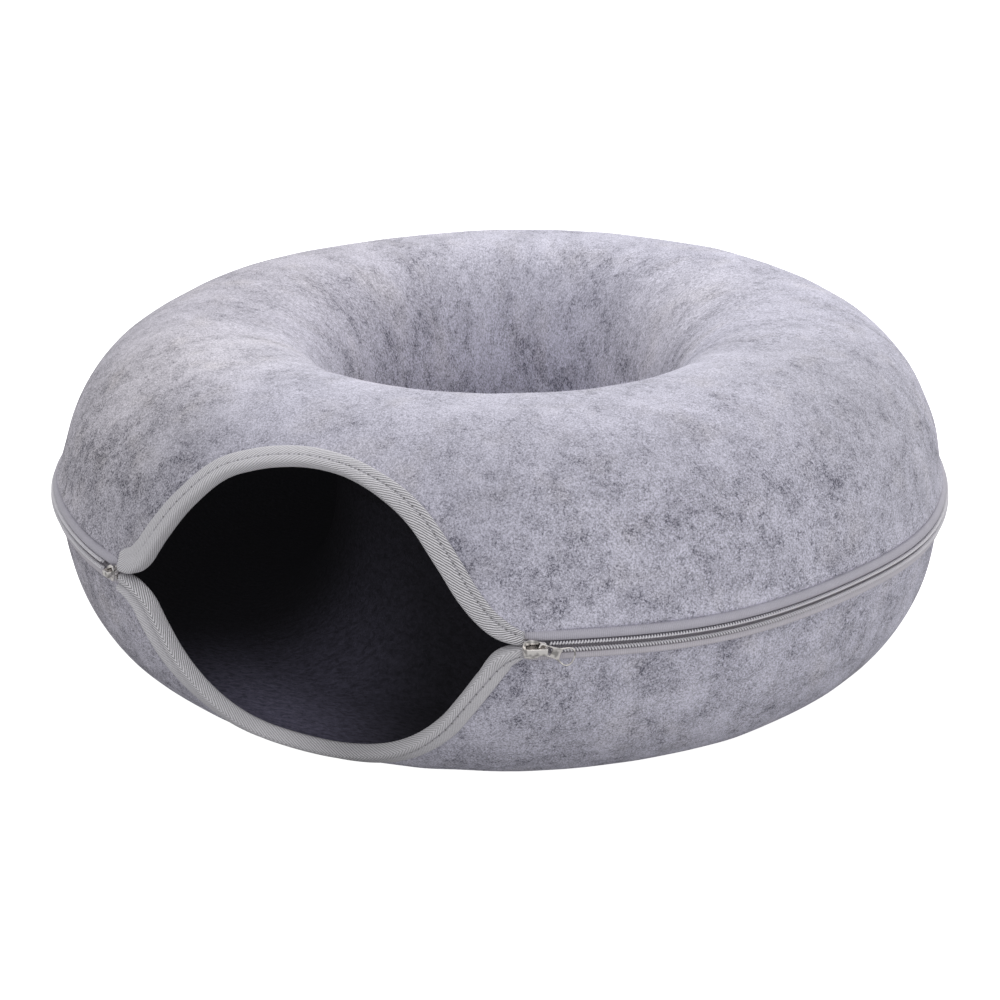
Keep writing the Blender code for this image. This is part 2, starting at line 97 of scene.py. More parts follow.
# The mouth's cut edge: (azimuth in degrees, how far it lies above and below the zip there)
MOUTH_HALF_SPAN = 27.5
MOUTH_EDGE = (
    (-27.5, 2.5, 2.5),
    (-26.0, 2.9, 3.1),
    (-24.0, 5.0, 5.0),
    (-22.0, 13.0, 11.5),
    (-20.0, 27.0, 24.5),
    (-17.5, 43.5, 42.5),
    (-14.0, 60.0, 62.0),
    (-10.0, 67.6, 77.5),
    (-5.0, 72.0, 83.5),
    (0.0, 73.0, 84.0),
    (5.0, 70.6, 80.0),
    (10.0, 63.7, 72.5),
    (14.0, 53.4, 61.8),
    (17.5, 37.0, 47.0),
    (20.0, 22.3, 31.5),
    (22.0, 12.5, 18.5),
    (24.0, 6.0, 7.0),
    (26.0, 2.9, 2.9),
    (27.5, 2.5, 2.5),
)

# How fine the felt's mesh is: columns round the ring, rows over the section, closest at the cut
# edge, and the rows of the lip beside the zip tape
MOUTH_FACES = 110
BACK_FACES = 240
SECTION_FACES = 56
ROW_CROWDING = 1.3
LIP_LENGTH = 7.0
LIP_FACES = 14

# Felt stretched down into the hole: its fibres lie this much further apart, in full from this share
# of the way to the waist
HOLE_STRETCH = 1.5
STRETCH_FULL = 0.8

# The moulded face waves in and out: sizes of its waves in mm, how many of each, how their height
# falls off with their size, and what brings their sum to about 1. It lies still near the mouth,
# near the zip and where the cave stands, from and to in mm
LUMP_SIZES = (130, 105, 84, 66, 52, 41, 33, 27)
WAVES_PER_SIZE = 4
LUMP_FALLOFF = 0.8
LUMP_SUM = 3.2
LUMP_SEED = 7
STILL_NEAR_EDGE = (6, 40)
STILL_NEAR_ZIP = (4, 30)
STANDING_BAND = 1.5
# How much of the outer face's lift shows on the inner one
INNER_FOLLOWS = 0.5

# How the felt leaves the moulded form, as a lip over the zip tape's sewn edge: (height from the
# zip, lift off the upper half's moulded face there, the same for the lower half)
ZIP_TUCK = (
    (0.0, -0.8, -0.8), (6.7, -1.2, -1.2), (7.2, -0.8, -0.8), (7.8, 0.2, -0.1), (8.8, 0.7, 0.2),
    (11.0, 0.6, 0.1), (15.0, 0.0, 0.0), (22.0, -0.4, 0.0), (34.0, -0.1, 0.0), (96.0, 0.0, 0.0),
)
# The tuck fades from the mouth's corner to this azimuth
TUCK_FULL_DEG = 33.0
# The lower half is fuller towards one side: (height from the zip, lift off the moulded face there)
FULL_SIDE_DEG = 114.0
FULL_SIDE = (
    (8.0, 0.0), (22.0, 0.4), (34.0, 0.9), (55.0, 1.4), (75.0, 1.4), (88.0, 0.5), (96.0, 0.0)
)

# The tape folded over the mouth's edge: (azimuth in degrees, how far the upper band reaches over
# the felt, what share of that the needle holes lie in from the cut edge, the same for the lower)
BINDING_SPAN = (-26.5, 27.0)
BINDING_STEPS = 320
BINDING_REACH = (
    (-27.5, 4.5, 0.50, 3.5, 0.40),
    (-25.5, 10.0, 0.50, 5.5, 0.40),
    (-24.0, 11.0, 0.45, 7.0, 0.40),
    (-21.0, 9.3, 0.40, 8.0, 0.36),
    (-17.0, 7.8, 0.36, 8.0, 0.32),
    (-10.0, 7.3, 0.26, 8.0, 0.30),
    (-4.0, 7.0, 0.24, 8.0, 0.30),
    (2.5, 6.6, 0.27, 8.0, 0.30),
    (7.6, 7.4, 0.48, 7.6, 0.30),
    (10.7, 8.5, 0.57, 7.4, 0.30),
    (14.0, 9.0, 0.62, 7.4, 0.29),
    (17.0, 9.6, 0.63, 8.0, 0.29),
    (19.0, 9.4, 0.63, 7.9, 0.28),
    (21.0, 9.0, 0.64, 8.2, 0.33),
    (24.0, 7.8, 0.60, 8.6, 0.48),
    (26.4, 5.2, 0.55, 5.0, 0.50),
    (27.5, 4.0, 0.50, 3.5, 0.50),
)

# The zip: its tapes on the felt, and its coil rows
ZIP_HALF_SPAN = 26.2
COIL_HALF_SPAN = 29.7
TAPE_STEPS = 420
COIL_GAP = 1.2
COIL_BASE = RING_RADIUS + FLARE + COIL_GAP


def linear(colour):
    """A linear colour from an sRGB hex value such as #C8C8D2."""
    channels = [int(colour[k : k + 2], 16) / 255 for k in (1, 3, 5)]
    return tuple(c / 12.92 if c <= 0.04045 else ((c + 0.055) / 1.055) ** 2.4 for c in channels)


def colour_prop(name, colour, description):
    about = {"name": name, "description": description, "default": linear(colour)}
    return FloatVectorProperty(**about, subtype="COLOR", size=3, min=0, max=1)


def length_prop(name, millimetres, description):
    about = {"name": name, "description": description, "default": millimetres * MM}
    return FloatProperty(**about, min=0, unit="LENGTH", subtype="DISTANCE", precision=5)


class CATCAVE_PG_felt(bpy.types.PropertyGroup):
    outside: colour_prop("Outside", "#E3E1F1", "Pale fibres of the felt's outside")
    fibre: colour_prop("Dark fibres", "#5F5E6C", "Darker fibres blended into the outside")
    # Painted shade: the felt's back is coloured near black so that the tunnel looks dark
    inside: colour_prop("Inside", "#1E1D23", "The felt's charcoal back, seen through the mouth")
    lump: length_prop("Lumps", 0.35, "How far the moulded felt waves in and out")


class CATCAVE_PG_binding(bpy.types.PropertyGroup):
    tape: colour_prop("Tape", "#F0EEF4", "The twill tape round the mouth")
    thread: colour_prop("Thread", "#C4C2CA", "The sewing thread in the tape's groove")
    rib: length_prop("Rib spacing", 1.1, "Distance between the twill's slanting ribs")
    stitch: length_prop("Stitch length", 5.5, "Distance between two needle holes")


class CATCAVE_PG_zip(bpy.types.PropertyGroup):
    tape: colour_prop("Tape", "#C9C6D2", "The woven tape on both sides of the coil")
    coil: colour_prop("Coil", "#F0EEF4", "The nylon coil")
    wire: length_prop("Coil wire", 0.85, "Diameter of the nylon that the coil is wound from")
    pitch: length_prop("Coil pitch", 1.5, "Distance between two turns of the coil")


class CATCAVE_PG_metal(bpy.types.PropertyGroup):
    plating: colour_prop("Plating", "#F3EFEC", "Bright nickel on the sliders and the pull")


class CATCAVE_PG_stage(bpy.types.PropertyGroup):
    floor: colour_prop("Floor", "#C4C4C4", "The pale floor that the cave stands on")
    table: FloatProperty(
        name="Light table", description="Glow of the white floor itself", default=1.0, min=0
    )
    lamps: FloatProperty(
        name="Lamps", description="How strong the soft lamps are, all together", default=1.0, min=0
    )
    sky: FloatProperty(
        name="Room light", description="Strength of the even white room", default=0.65, min=0
    )


def cosine_wave(wave, azimuth):
    """One wave round the ring, from -1 to 1."""
    return np.cos(wave["waves"] * (azimuth - math.radians(wave["peak_deg"])))


def smooth_step(value, low, high):
    share = np.clip((value - low) / (high - low), 0, 1)
    return share * share * (3 - 2 * share)


def settle(points):
    """Points in mm on the true ring, brought to metres on the uneven ring that stands on z = 0."""
    x, y, height = np.moveaxis(np.asarray(points, float), -1, 0)
    azimuth = np.arctan2(x, -y)
    lean = LEAN["out"] * smooth_step(height, LEAN["from_height"], LEAN["full_height"])
    lean = lean * np.cos(azimuth - math.radians(LEAN["toward_deg"])) / np.hypot(x, y)
    widen = 1 + RADIUS_WAVE["share"] * cosine_wave(RADIUS_WAVE, azimuth) + lean
    taller = 1 + sum(w["share"] * cosine_wave(w, azimuth) for w in HEIGHT_WAVES)
    near_zip = np.exp(-((height / ZIP_WAVER["reach"]) ** 2))
    settled = np.where(height > 0, height * taller, height)
    settled = settled + ZIP_WAVER["height"] * cosine_wave(ZIP_WAVER, azimuth) * near_zip
    for sag in ZIP_SAGS:
        off = np.angle(np.exp(1j * (azimuth - math.radians(sag["azimuth_deg"]))))
        share = np.clip(np.abs(off) / math.radians(sag["reach_deg"]), 0, 1)
        settled = settled - sag["drop"] * np.cos(share * math.pi / 2) ** 2 * near_zip
    settled = np.maximum(settled, -ZIP_HEIGHT) + ZIP_HEIGHT
    return np.stack([x * widen, y * widen + RING_AXIS_Y, settled], -1) * MM


def on_ring(radius, azimuth, height):
    """Points at a distance from the ring's axis, at an azimuth and a height."""
    place = radius * np.sin(azimuth), -radius * np.cos(azimuth), height
    return np.stack(np.broadcast_arrays(*place), -1)


def unit(vectors):
    return vectors / np.linalg.norm(vectors, axis=-1, keepdims=True)


def hermite(t, before, after, slope_before, slope_after):
    """A smooth curve from one value at t = 0 to the next at t = 1, with a slope at each."""
    return (
        (2 * t**3 - 3 * t**2 + 1) * before
        + (t**3 - 2 * t**2 + t) * slope_before
        + (3 * t**2 - 2 * t**3) * after
        + (t**3 - t**2) * slope_after
    )


def section_point(half, turn):
    """(radius, height from the zip's plane) on a half ring's outer face, both positive."""
    shape = HALVES[half]
    across, along = np.cos(turn), np.sin(turn)
    outside = across >= 0
    power = np.where(outside, shape["outer_power"], shape["inner_power"])
    reach = np.where(outside, RING_RADIUS - CREST_RADIUS, CREST_RADIUS - WAIST_RADIUS)
    radius = CREST_RADIUS + np.sign(across) * np.abs(across) ** (2 / power) * reach
    height = np.abs(along) ** (2 / power) * shape["depth"]
    flare = FLARE * np.cos(math.pi / 2 * np.minimum(height / FLARE_REACH, 1)) ** 2
    radius = radius + np.where(outside, flare, 0)
    return radius, np.minimum(height, ZIP_HEIGHT)


def turn_at(half, height):
    """The turn at which the outer side of a half ring is this far from the zip's plane."""
    shape = HALVES[half]
    return np.arcsin((height / shape["depth"]) ** (shape["outer_power"] / 2))


def section_normal(half, turn):
    """The outward normal (in radius, in height) of a half ring's section."""
    step = 1e-4
    radius_before, height_before = section_point(half, np.maximum(turn - step, 0))
    radius_after, height_after = section_point(half, turn + step)
    along = np.stack([radius_after - radius_before, height_after - height_before])
    along = along / np.maximum(np.linalg.norm(along, axis=0), 1e-12)
    return along[1], -along[0]


def ring_point(half, azimuth, turn, lift=0.0):
    """Points of the true ring, lifted off its outer face along the normal."""
    radius, height = section_point(half, turn)
    out_radius, out_height = section_normal(half, turn)
    height = (height + lift * out_height) * HALVES[half]["up"]
    return on_ring(radius + lift * out_radius, azimuth, height)


def mouth_height(half, azimuth_deg):
    """How far the felt's cut edge is from the zip's plane, on a smooth curve through the table."""
    known, *columns = np.array(MOUTH_EDGE).T
    heights = columns[list(HALVES).index(half)]
    slopes = np.gradient(heights) / np.gradient(known)
    k = np.clip(np.searchsorted(known, azimuth_deg) - 1, 0, len(known) - 2)
    run = known[k + 1] - known[k]
    share = (azimuth_deg - known[k]) / run
    return hermite(share, heights[k], heights[k + 1], run * slopes[k], run * slopes[k + 1])


def edge_lengths(half, azimuths_deg):
    """How far along the mouth's cut edge each azimuth lies, in mm."""
    turns = turn_at(half, mouth_height(half, azimuths_deg))
    points = ring_point(half, np.radians(azimuths_deg), turns)
    return np.concatenate([[0], np.cumsum(np.linalg.norm(np.diff(points, axis=0), axis=1))])


def even_azimuths(half, span, steps):
    """Azimuths in degrees that part the mouth's edge into steps of equal length."""
    samples = np.linspace(*span, EDGE_SAMPLES)
    lengths = edge_lengths(half, samples)
    return np.interp(np.linspace(0, lengths[-1], steps + 1), lengths, samples)


def section_arc(half):
    """Dense (turn, arc length in mm) along a half ring's section, from the zip to the waist."""
    shape = HALVES[half]
    waist = math.pi - math.asin((WAIST_EDGE / shape["depth"]) ** (shape["inner_power"] / 2))
    first, samples = SAMPLES_TO_WAIST
    turns = np.concatenate([np.geomspace(*SAMPLES_BY_ZIP), np.linspace(first, waist, samples)])
    radius, height = section_point(half, turns)
    steps = np.hypot(np.diff(radius), np.diff(height))
    return turns, np.concatenate([[0], np.cumsum(steps)])


def grid_faces(columns, rows, start=0):
    """Quads between neighbouring points of a grid stored column by column and closed round."""
    across = np.arange(columns)[:, None]
    along = np.arange(rows - 1) + start
    first = (across * rows + along).ravel()
    beside = ((across + 1) % columns * rows + along).ravel()
    return np.stack([first, beside, beside + 1, first + 1], -1)


def add_piece(name, points, faces, materials, replaced=None, place=None, face_looks=None):
    """A new smooth mesh object in metres that rides on the ring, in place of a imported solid.

    place is the name and the values of a point attribute, and face_looks each face's material.
    """
    mesh = bpy.data.meshes.new(name)
    mesh.from_pydata(points.reshape(-1, 3).tolist(), [], [list(map(int, f)) for f in faces])
    mesh.validate()
    if place:
        made = mesh.attributes.new(place[0], "FLOAT_VECTOR", "POINT")
        made.data.foreach_set("vector", np.asarray(place[1], np.float32).ravel())
    if face_looks is not None:
        mesh.polygons.foreach_set("material_index", face_looks)
    for material in materials:
        mesh.materials.append(material)
    mesh.shade_smooth()
    mesh.update()
    piece = bpy.data.objects.new(name, mesh)
    bpy.context.scene.collection.objects.link(piece)
    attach(piece, BODY)
    if replaced:
        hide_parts(replaced)
    return piece


# Settings that several nodes share
SMOOTH = {"interpolation_type": "SMOOTHSTEP"}
BLEND = {"data_type": "RGBA"}
TINT = {**BLEND, "blend_type": "MULTIPLY"}


def add_node(tree, kind, links=(), **settings):
    """Adds a node with its settings, and gives the first output that it has in use.

    The links are sockets or values, in the order of the inputs in use, or by an input's name.
    """
    made = tree.nodes.new("ShaderNode" + kind)
    for key, value in settings.items():
        setattr(made, key, value)
    used = [socket for socket in made.inputs if socket.enabled]
    for key, value in links.items() if isinstance(links, dict) else enumerate(links):
        socket = used[key] if isinstance(key, int) else made.inputs[key]
        if isinstance(value, bpy.types.NodeSocket):
            tree.links.new(value, socket)
        else:
            socket.default_value = (*value, 1) if socket.type == "RGBA" else value
    return next((socket for socket in made.outputs if socket.enabled), None)


def empty_tree(holder):
    """Clears a material's or a world's nodes. Gives the function that adds new ones there."""
    holder.use_nodes = True
    holder.node_tree.nodes.clear()
    return partial(add_node, holder.node_tree)


def new_material(name, attribute=None):
    """A node material, the function that adds nodes to it, and the place on the piece.

    The place is a point attribute in mm, or else the object's own coordinates in metres.
    """
    made = bpy.data.materials.new(name)
    node = empty_tree(made)
    if attribute:
        return made, node, node("Attribute", attribute_name=attribute).node.outputs["Vector"]
    return made, node, node("TexCoord").node.outputs["Object"]


def weighted_sum(node, total, layers):
    """A number and each (layer, weight) added up."""
    for layer, weight in layers:
        total = node("Math", (layer, weight, total), operation="MULTIPLY_ADD")
    return total


# The slow and fine layers of the blended felt: the size of their noise in mm, its detail, roughness
# and distortion, and the values between which the layer sets in
FELT_LAYERS = {
    "clouds": (32.0, 2.0, 0.5, 0.0, 0.34, 0.66),
    "clusters": (6.5, 3.0, 0.6, 0.0, 0.44, 0.68),
    "drift": (15.0, 2.0, 0.5, 0.0, 0.3, 0.7),
    "warmth": (22.0, 2.0, 0.5, 0.0, 0.52, 0.76),
    "grain": (0.95, 2.0, 0.8, 0.3, 0.36, 0.64),
}
# Its dark fibres, from long to fine: how far apart in mm, how thick, and how much they wind
FELT_FIBRES = ((4.6, 0.03, 1.0), (2.3, 0.05, 0.8), (1.3, 0.08, 0.8), (1.0, 0.1, 0.7))
# The gaps that break the short fibres: their size to the fibres', and where the noise sets in
FIBRE_GAPS = (1.7, 0.4, 0.56)
# How dense the clusters are in a cloud, and how dark the fibres are in a cluster: (gain, least)
CLOUDED = (0.8, 0.45)
FIBRE_DARKNESS = (0.34, 0.24)
# How much each layer darkens the felt, and the darkness without them
FELT_WEIGHTS = {"density": 0.13, "clouds": 0.17, "drift": 0.2, "fine": 0.22, "grain": 0.62}
FELT_BASE = -0.3
FELT_MIDDLE = 0.28
# A blend holds a little warm fibre, so the grey wanders faintly towards olive
WARM_TINT = (1.0, 0.9895, 0.958)
# The ring's left side is darkened with painted shade, has less blue and parts into paler and
# darker fibre, and its crest is calmer than its sides: from and to in mm, and how strongly
LEFT_SIDE_MM = (-210.0, -30.0)
CREST_MM = (45.0, 85.0)
LEFT_CONTRAST = 0.45
CREST_CALM = 0.25
LEFT_SIDE_SHADE_TINT = (0.92, 0.9, 0.865)
# Places where the felt is made paler or darker: (middle in mm, reach in mm, tint)
FELT_PATCHES = (
    ((-122.0, -148.0, 87.0), 100.0, (1.17, 1.16, 1.11)),
    ((-76.0, 49.0, 25.0), 60.0, (1.18, 1.18, 1.17)),
    ((68.0, 79.0, 65.0), 80.0, (1.24, 1.23, 1.17)),
    ((-100.0, -220.0, 40.0), 80.0, (0.83, 0.83, 0.82)),
    ((208.0, -18.0, 79.0), 100.0, (0.86, 0.86, 0.85)),
    ((84.0, -218.0, 54.0), 55.0, (0.86, 0.86, 0.87)),
)


def felt_outside(settings):
    """Moulded polyester felt: pale and dark staple fibres blended, pressed and heat-set.

    The eye sees a matt, slightly cloudy grey with short dark fibres in loose clusters.
    """
    made, node, place = new_material("moulded_polyester_felt", "felt_place")
    layers = {}
    for name, (size, detail, roughness, distortion, low, high) in FELT_LAYERS.items():
        links = {"Scale": 1 / size, "Detail": detail, "Roughness": roughness}
        noise = node("TexNoise", {"Vector": place, "Distortion": distortion, **links})
        layers[name] = node("MapRange", (noise, low, high))
    # A fibre is a thin curved line where a smooth noise passes its middle value
    hairs = []
    for size, width, distortion in FELT_FIBRES:
        links = {"Vector": place, "Scale": 1 / size, "Detail": 1.0, "Distortion": distortion}
        off_middle = node("Math", (node("TexNoise", links), 0.5), operation="SUBTRACT")
        off_middle = node("Math", (off_middle,), operation="ABSOLUTE")
        hairs.append(node("MapRange", (off_middle, 0.0, width, 1.0, 0.0)))
    fibres, *shorter, layers["fine"] = hairs
    wider, *sets_in = FIBRE_GAPS
    for (size, *_), hair in zip(FELT_FIBRES[1:-1], shorter):
        gaps = node("TexNoise", {"Vector": place, "Scale": 1 / (wider * size), "Detail": 1.0})
        gaps = node("MapRange", (gaps, *sets_in))
        broken = node("Math", (hair, gaps), operation="MULTIPLY")
        fibres = node("Math", (fibres, broken), operation="MAXIMUM")
    clouded = node("Math", (layers["clouds"], *CLOUDED), operation="MULTIPLY_ADD")
    density = node("Math", (layers["clusters"], clouded), operation="MULTIPLY")
    layers["density"] = density
    reach = node("Math", (density, *FIBRE_DARKNESS), operation="MULTIPLY_ADD")
    weights = [(layers[name], weight) for name, weight in FELT_WEIGHTS.items()]
    dark = weighted_sum(node, FELT_BASE, [(fibres, reach), *weights])
    left, _, up = node("SeparateXYZ", (place,)).node.outputs
    shaded_left_side = node("MapRange", (left, *LEFT_SIDE_MM, 1.0, 0.0), **SMOOTH)
    side = node("MapRange", (up, *CREST_MM, 1.0, 0.0), **SMOOTH)
    parted = weighted_sum(node, CREST_CALM, [(shaded_left_side, LEFT_CONTRAST)])
    parted = weighted_sum(node, -CREST_CALM, [(side, parted)])
    off_middle = node("Math", (dark, FELT_MIDDLE), operation="SUBTRACT")
    dark = weighted_sum(node, dark, [(off_middle, parted)])
    tone = node("Mix", (dark, settings.outside, settings.fibre), **BLEND)
    # The left side's tint is painted shade, with a hue of its own that holds less blue
    tints = [(layers["warmth"], WARM_TINT), (shaded_left_side, LEFT_SIDE_SHADE_TINT)]
    for middle, reach, tint in FELT_PATCHES:
        away = node("VectorMath", (place, middle), operation="DISTANCE")
        near = node("MapRange", (away, 0.0, reach, 1.0, 0.0), **SMOOTH)
        tints.append((near, tint))
    for share, tint in tints:
        tone = node("Mix", (share, tone, tint), **TINT)
    relief = weighted_sum(node, 0.0, [(layers["clusters"], -0.4), (fibres, -0.6)])
    surface = {
        "Base Color": tone,
        "Roughness": 0.95,
        "IOR": 1.5,
        "Specular IOR Level": 0.2,
        "Sheen Weight": 0.12,
        "Sheen Roughness": 0.6,
        "Normal": node("Bump", {"Height": relief, "Strength": 0.35, "Distance": 0.5 * MM}),
    }
    node("OutputMaterial", (node("BsdfPrincipled", surface),))
    return made


# The tunnel's pile is brushed along it, so the streaks are drawn out that way
BRUSHED = (0.45, 1.0, 1.0)
# A pool of painted light on its floor, where light through the mouth falls: the middle, the
# distances from it over which that fades, in mm, and how many times brighter it is there
LIT_POOL_PLACE = (-85.0, -215.0, -85.0)
LIT_POOL_REACH = (10.0, 135.0)
LIT_POOL_GAIN = (12.0, 12.0, 12.96)
# Painted light: a faint glow of the tunnel's felt, which lifts its shade
PAINTED_GLOW = 0.003


def felt_inside(settings):
    """The felt's back: the same pressed fibre, painted nearly black as the tunnel's shade.

    The eye sees a deep tunnel whose floor has painted light behind the mouth's left side.
    """
    made, node, place = new_material("felt_back_painted_dark", "felt_place")
    streaks = node("Mapping", {"Vector": place, "Scale": BRUSHED})
    links = {"Vector": streaks, "Scale": 1 / 2.0, "Detail": 4.0, "Roughness": 0.75}
    fibre = node("TexNoise", {"Distortion": 0.5, **links})
    pile = node("MapRange", (fibre, 0.36, 0.64))
    pale_fibre = settings.inside * 2.4
    tone = node("Mix", (pile, settings.inside, pale_fibre), **BLEND)
    # Painted light: the floor is made paler in a pool behind the mouth's left side
    away = node("VectorMath", (place, LIT_POOL_PLACE), operation="DISTANCE")
    lit_pool = node("MapRange", (away, *LIT_POOL_REACH, 1.0, 0.0), **SMOOTH)
    tone = node("Mix", (lit_pool, tone, LIT_POOL_GAIN), **TINT)
    surface = {
        "Base Color": tone,
        "Roughness": 0.95,
        "IOR": 1.5,
        "Specular IOR Level": 0.15,
        "Emission Color": (0.9, 0.88, 1.0),
        "Emission Strength": PAINTED_GLOW,
        "Normal": node("Bump", {"Height": fibre, "Strength": 0.5, "Distance": 0.6 * MM}),
    }
    node("OutputMaterial", (node("BsdfPrincipled", surface),))
    return made


# The ribs of the twill run this far off the tape's own direction
TWILL_ANGLE_DEG = 28.0
# On each tape: where the ribs turn back, in mm from the middle of its fold; from and to in mm from
# the left corner, and how sharply the ribs stand out at each; how sharply they do outside the
# seam; the middle and reach in mm of painted light on the upper tape and painted shade on the
# lower one, and how much
TWILL = {
    "upper": {
        "fold": -4.0,
        "sharp": (40.0, 230.0, 0.4, 1.0),
        "band": 1.0,
        "painted_light_shade": (130.0, 75.0, 0.22),
    },
    "lower": {
        "fold": 3.4,
        "sharp": (30.0, 120.0, 0.85, 0.4),
        "band": 0.35,
        "painted_light_shade": (170.0, 60.0, -0.26),
    },
}
TWILL_BASE = 0.27
# Where the part outside the seam starts, from and to in mm from the fold; the inner and outer
# radius of a needle hole in mm; and how much the ribs wander
BAND_MM = (6.0, 9.0)
NEEDLE_HOLE_MM = (0.25, 0.75)
RIB_WANDER = 4.0


def twill_tape(half, settings):
    """Polyester twill tape: ribs of thread lean along it and turn back at the fold.

    The eye sees a smooth grey band with fine slanting lines, pricked by the needle along its seam.
    """
    made, node, place = new_material(half + "_twill_tape", "tape_place")
    along, across, from_seam = node("SeparateXYZ", (place,)).node.outputs
    look = TWILL[half]
    # The real ribs are finer, and are drawn wider so that they show. They climb away from the fold
    angle, per_mm = math.radians(TWILL_ANGLE_DEG), math.tau * MM / settings.rib
    climb = -HALVES[half]["up"] * math.sin(angle) * per_mm
    off_fold = node("Math", (across, look["fold"]), operation="SUBTRACT")
    off_fold = node("Math", (off_fold,), operation="ABSOLUTE")
    wobble = node("TexNoise", {"Vector": place, "Scale": 1 / 4.0})
    turns = [(off_fold, math.cos(angle) * per_mm), (along, climb), (wobble, RIB_WANDER)]
    rib = node("Math", (weighted_sum(node, 0.0, turns),), operation="SINE")
    sharp = node("MapRange", (along, *look["sharp"]), **SMOOTH)
    band = node("MapRange", (across, *BAND_MM, 1.0, look["band"]))
    for share in (sharp, band):
        rib = node("Math", (rib, share), operation="MULTIPLY")
    # Thread ends within a rib, about 0.5 mm long
    thread = node("TexNoise", {"Vector": place, "Scale": 1 / 0.5, "Roughness": 0.6})
    # Painted light where the upper tape is lit, painted shade where the lower one lies in shade
    middle, reach, gain = look["painted_light_shade"]
    off_middle = node("Math", (along, middle), operation="SUBTRACT")
    off_middle = node("Math", (off_middle,), operation="ABSOLUTE")
    painted_light_shade = node("MapRange", (off_middle, 0.0, reach, gain, 0.0), **SMOOTH)
    cloth = weighted_sum(node, TWILL_BASE, [(rib, 0.6), (thread, 0.7), (painted_light_shade, 1.0)])
    # The needle's holes: round pits painted dark with the shade in them, one for each stitch
    off_hole = node("Math", (along, 0.5 * settings.stitch / MM), operation="PINGPONG")
    off_hole = node("VectorMath", (node("CombineXYZ", (off_hole, from_seam)),), operation="LENGTH")
    pit = node("MapRange", (off_hole, *NEEDLE_HOLE_MM, 0.8, 0.0), **SMOOTH)
    # The ribs' pattern is real; the dark colour between them is painted shade
    shaded_between_ribs, shade_in_hole = settings.tape * 0.2, settings.tape * 0.12
    woven = node("Mix", (cloth, shaded_between_ribs, settings.tape), **BLEND)
    relief = weighted_sum(node, cloth, [(pit, -2.5)])
    surface = {
        "Base Color": node("Mix", (pit, woven, shade_in_hole), **BLEND),
        "Roughness": 0.7,
        "IOR": 1.5,
        "Specular IOR Level": 0.4,
        "Sheen Weight": 0.1,
        "Normal": node("Bump", {"Height": relief, "Strength": 0.7, "Distance": 0.3 * MM}),
    }
    node("OutputMaterial", (node("BsdfPrincipled", surface),))
    return made


# The real warp is about 0.4 mm apart, drawn wider so that it shows
WARP_MM = 0.95
WEAVE_BASE = -0.075
# The lower tape is lifted with painted light and is a little warmer, and both are darkened with
# painted shade where the coils run: from and to in mm from the zip's plane, and this much further
# down on the lower one
LOWER_TAPE_LIFT = (1.19, 1.17, 1.13)
COIL_SHADE = (0.42, 0.41, 0.42)
COIL_SHADE_FADES_MM = (2.4, 3.0)
LOWER_COIL_SHADE_MM = 1.0


def zip_webbing(settings):
    """Woven zip tape: a close plain weave, slightly silky, whose warp shows as faint lines."""
    made, node, place = new_material("woven_zip_tape", "tape_place")
    along, height, _ = node("SeparateXYZ", (place,)).node.outputs
    warp = node("Math", (along, math.tau / WARP_MM), operation="MULTIPLY")
    warp = node("Math", (warp,), operation="SINE")
    links = {"Vector": place, "Scale": 1 / 0.6, "Detail": 3.0, "Roughness": 0.7}
    thread = node("TexNoise", links)
    cloud = node("TexNoise", {"Vector": place, "Scale": 1 / 9.0})
    light = weighted_sum(node, WEAVE_BASE, [(warp, 0.175), (thread, 1.1), (cloud, 0.25)])
    between_threads = settings.tape * 0.5
    tone = node("Mix", (light, between_threads, settings.tape), **BLEND)
    lower = node("Math", (height, 0.0), operation="LESS_THAN")
    off_zip = node("Math", (height,), operation="ABSOLUTE")
    off_zip = weighted_sum(node, off_zip, [(lower, -LOWER_COIL_SHADE_MM)])
    in_coil_shade = node("MapRange", (off_zip, *COIL_SHADE_FADES_MM, 1.0, 0.0), **SMOOTH)
    # Painted light lifts the lower tape, and painted shade darkens both beside the coils
    for share, tint in ((lower, LOWER_TAPE_LIFT), (in_coil_shade, COIL_SHADE)):
        tone = node("Mix", (share, tone, tint), **TINT)
    surface = {
        "Base Color": tone,
        "Roughness": 0.6,
        "IOR": 1.5,
        "Specular IOR Level": 0.5,
        "Sheen Weight": 0.15,
        "Normal": node("Bump", {"Height": light, "Strength": 0.2, "Distance": 0.2 * MM}),
    }
    node("OutputMaterial", (node("BsdfPrincipled", surface),))
    return made


def nylon(settings):
    """Extruded nylon wire of the coil: milky, with a soft gloss along each turn."""
    made, node, place = new_material("extruded_nylon_coil")
    # The milkiness varies over about 5.5 mm
    cloud = node("TexNoise", {"Vector": place, "Scale": 180.0})
    milky = settings.coil * 0.86
    tone = node("Mix", (cloud, milky, settings.coil), **BLEND)
    surface = {"Base Color": tone, "Roughness": 0.32, "IOR": 1.53}
    node("OutputMaterial", (node("BsdfPrincipled", surface),))
    return made


def sewing_thread(settings):
    """Spun polyester thread: matt, with its plies faintly shaded."""
    made, node, place = new_material("polyester_sewing_thread")
    # A ply's turn is about 0.7 mm long
    ply = node("TexNoise", {"Vector": place, "Scale": 1500.0, "Detail": 1.0})
    between_plies = settings.thread * 0.7
    tone = node("Mix", (ply, between_plies, settings.thread), **BLEND)
    surface = {"Base Color": tone, "Roughness": 0.7, "IOR": 1.5}
    node("OutputMaterial", (node("BsdfPrincipled", surface),))
    return made


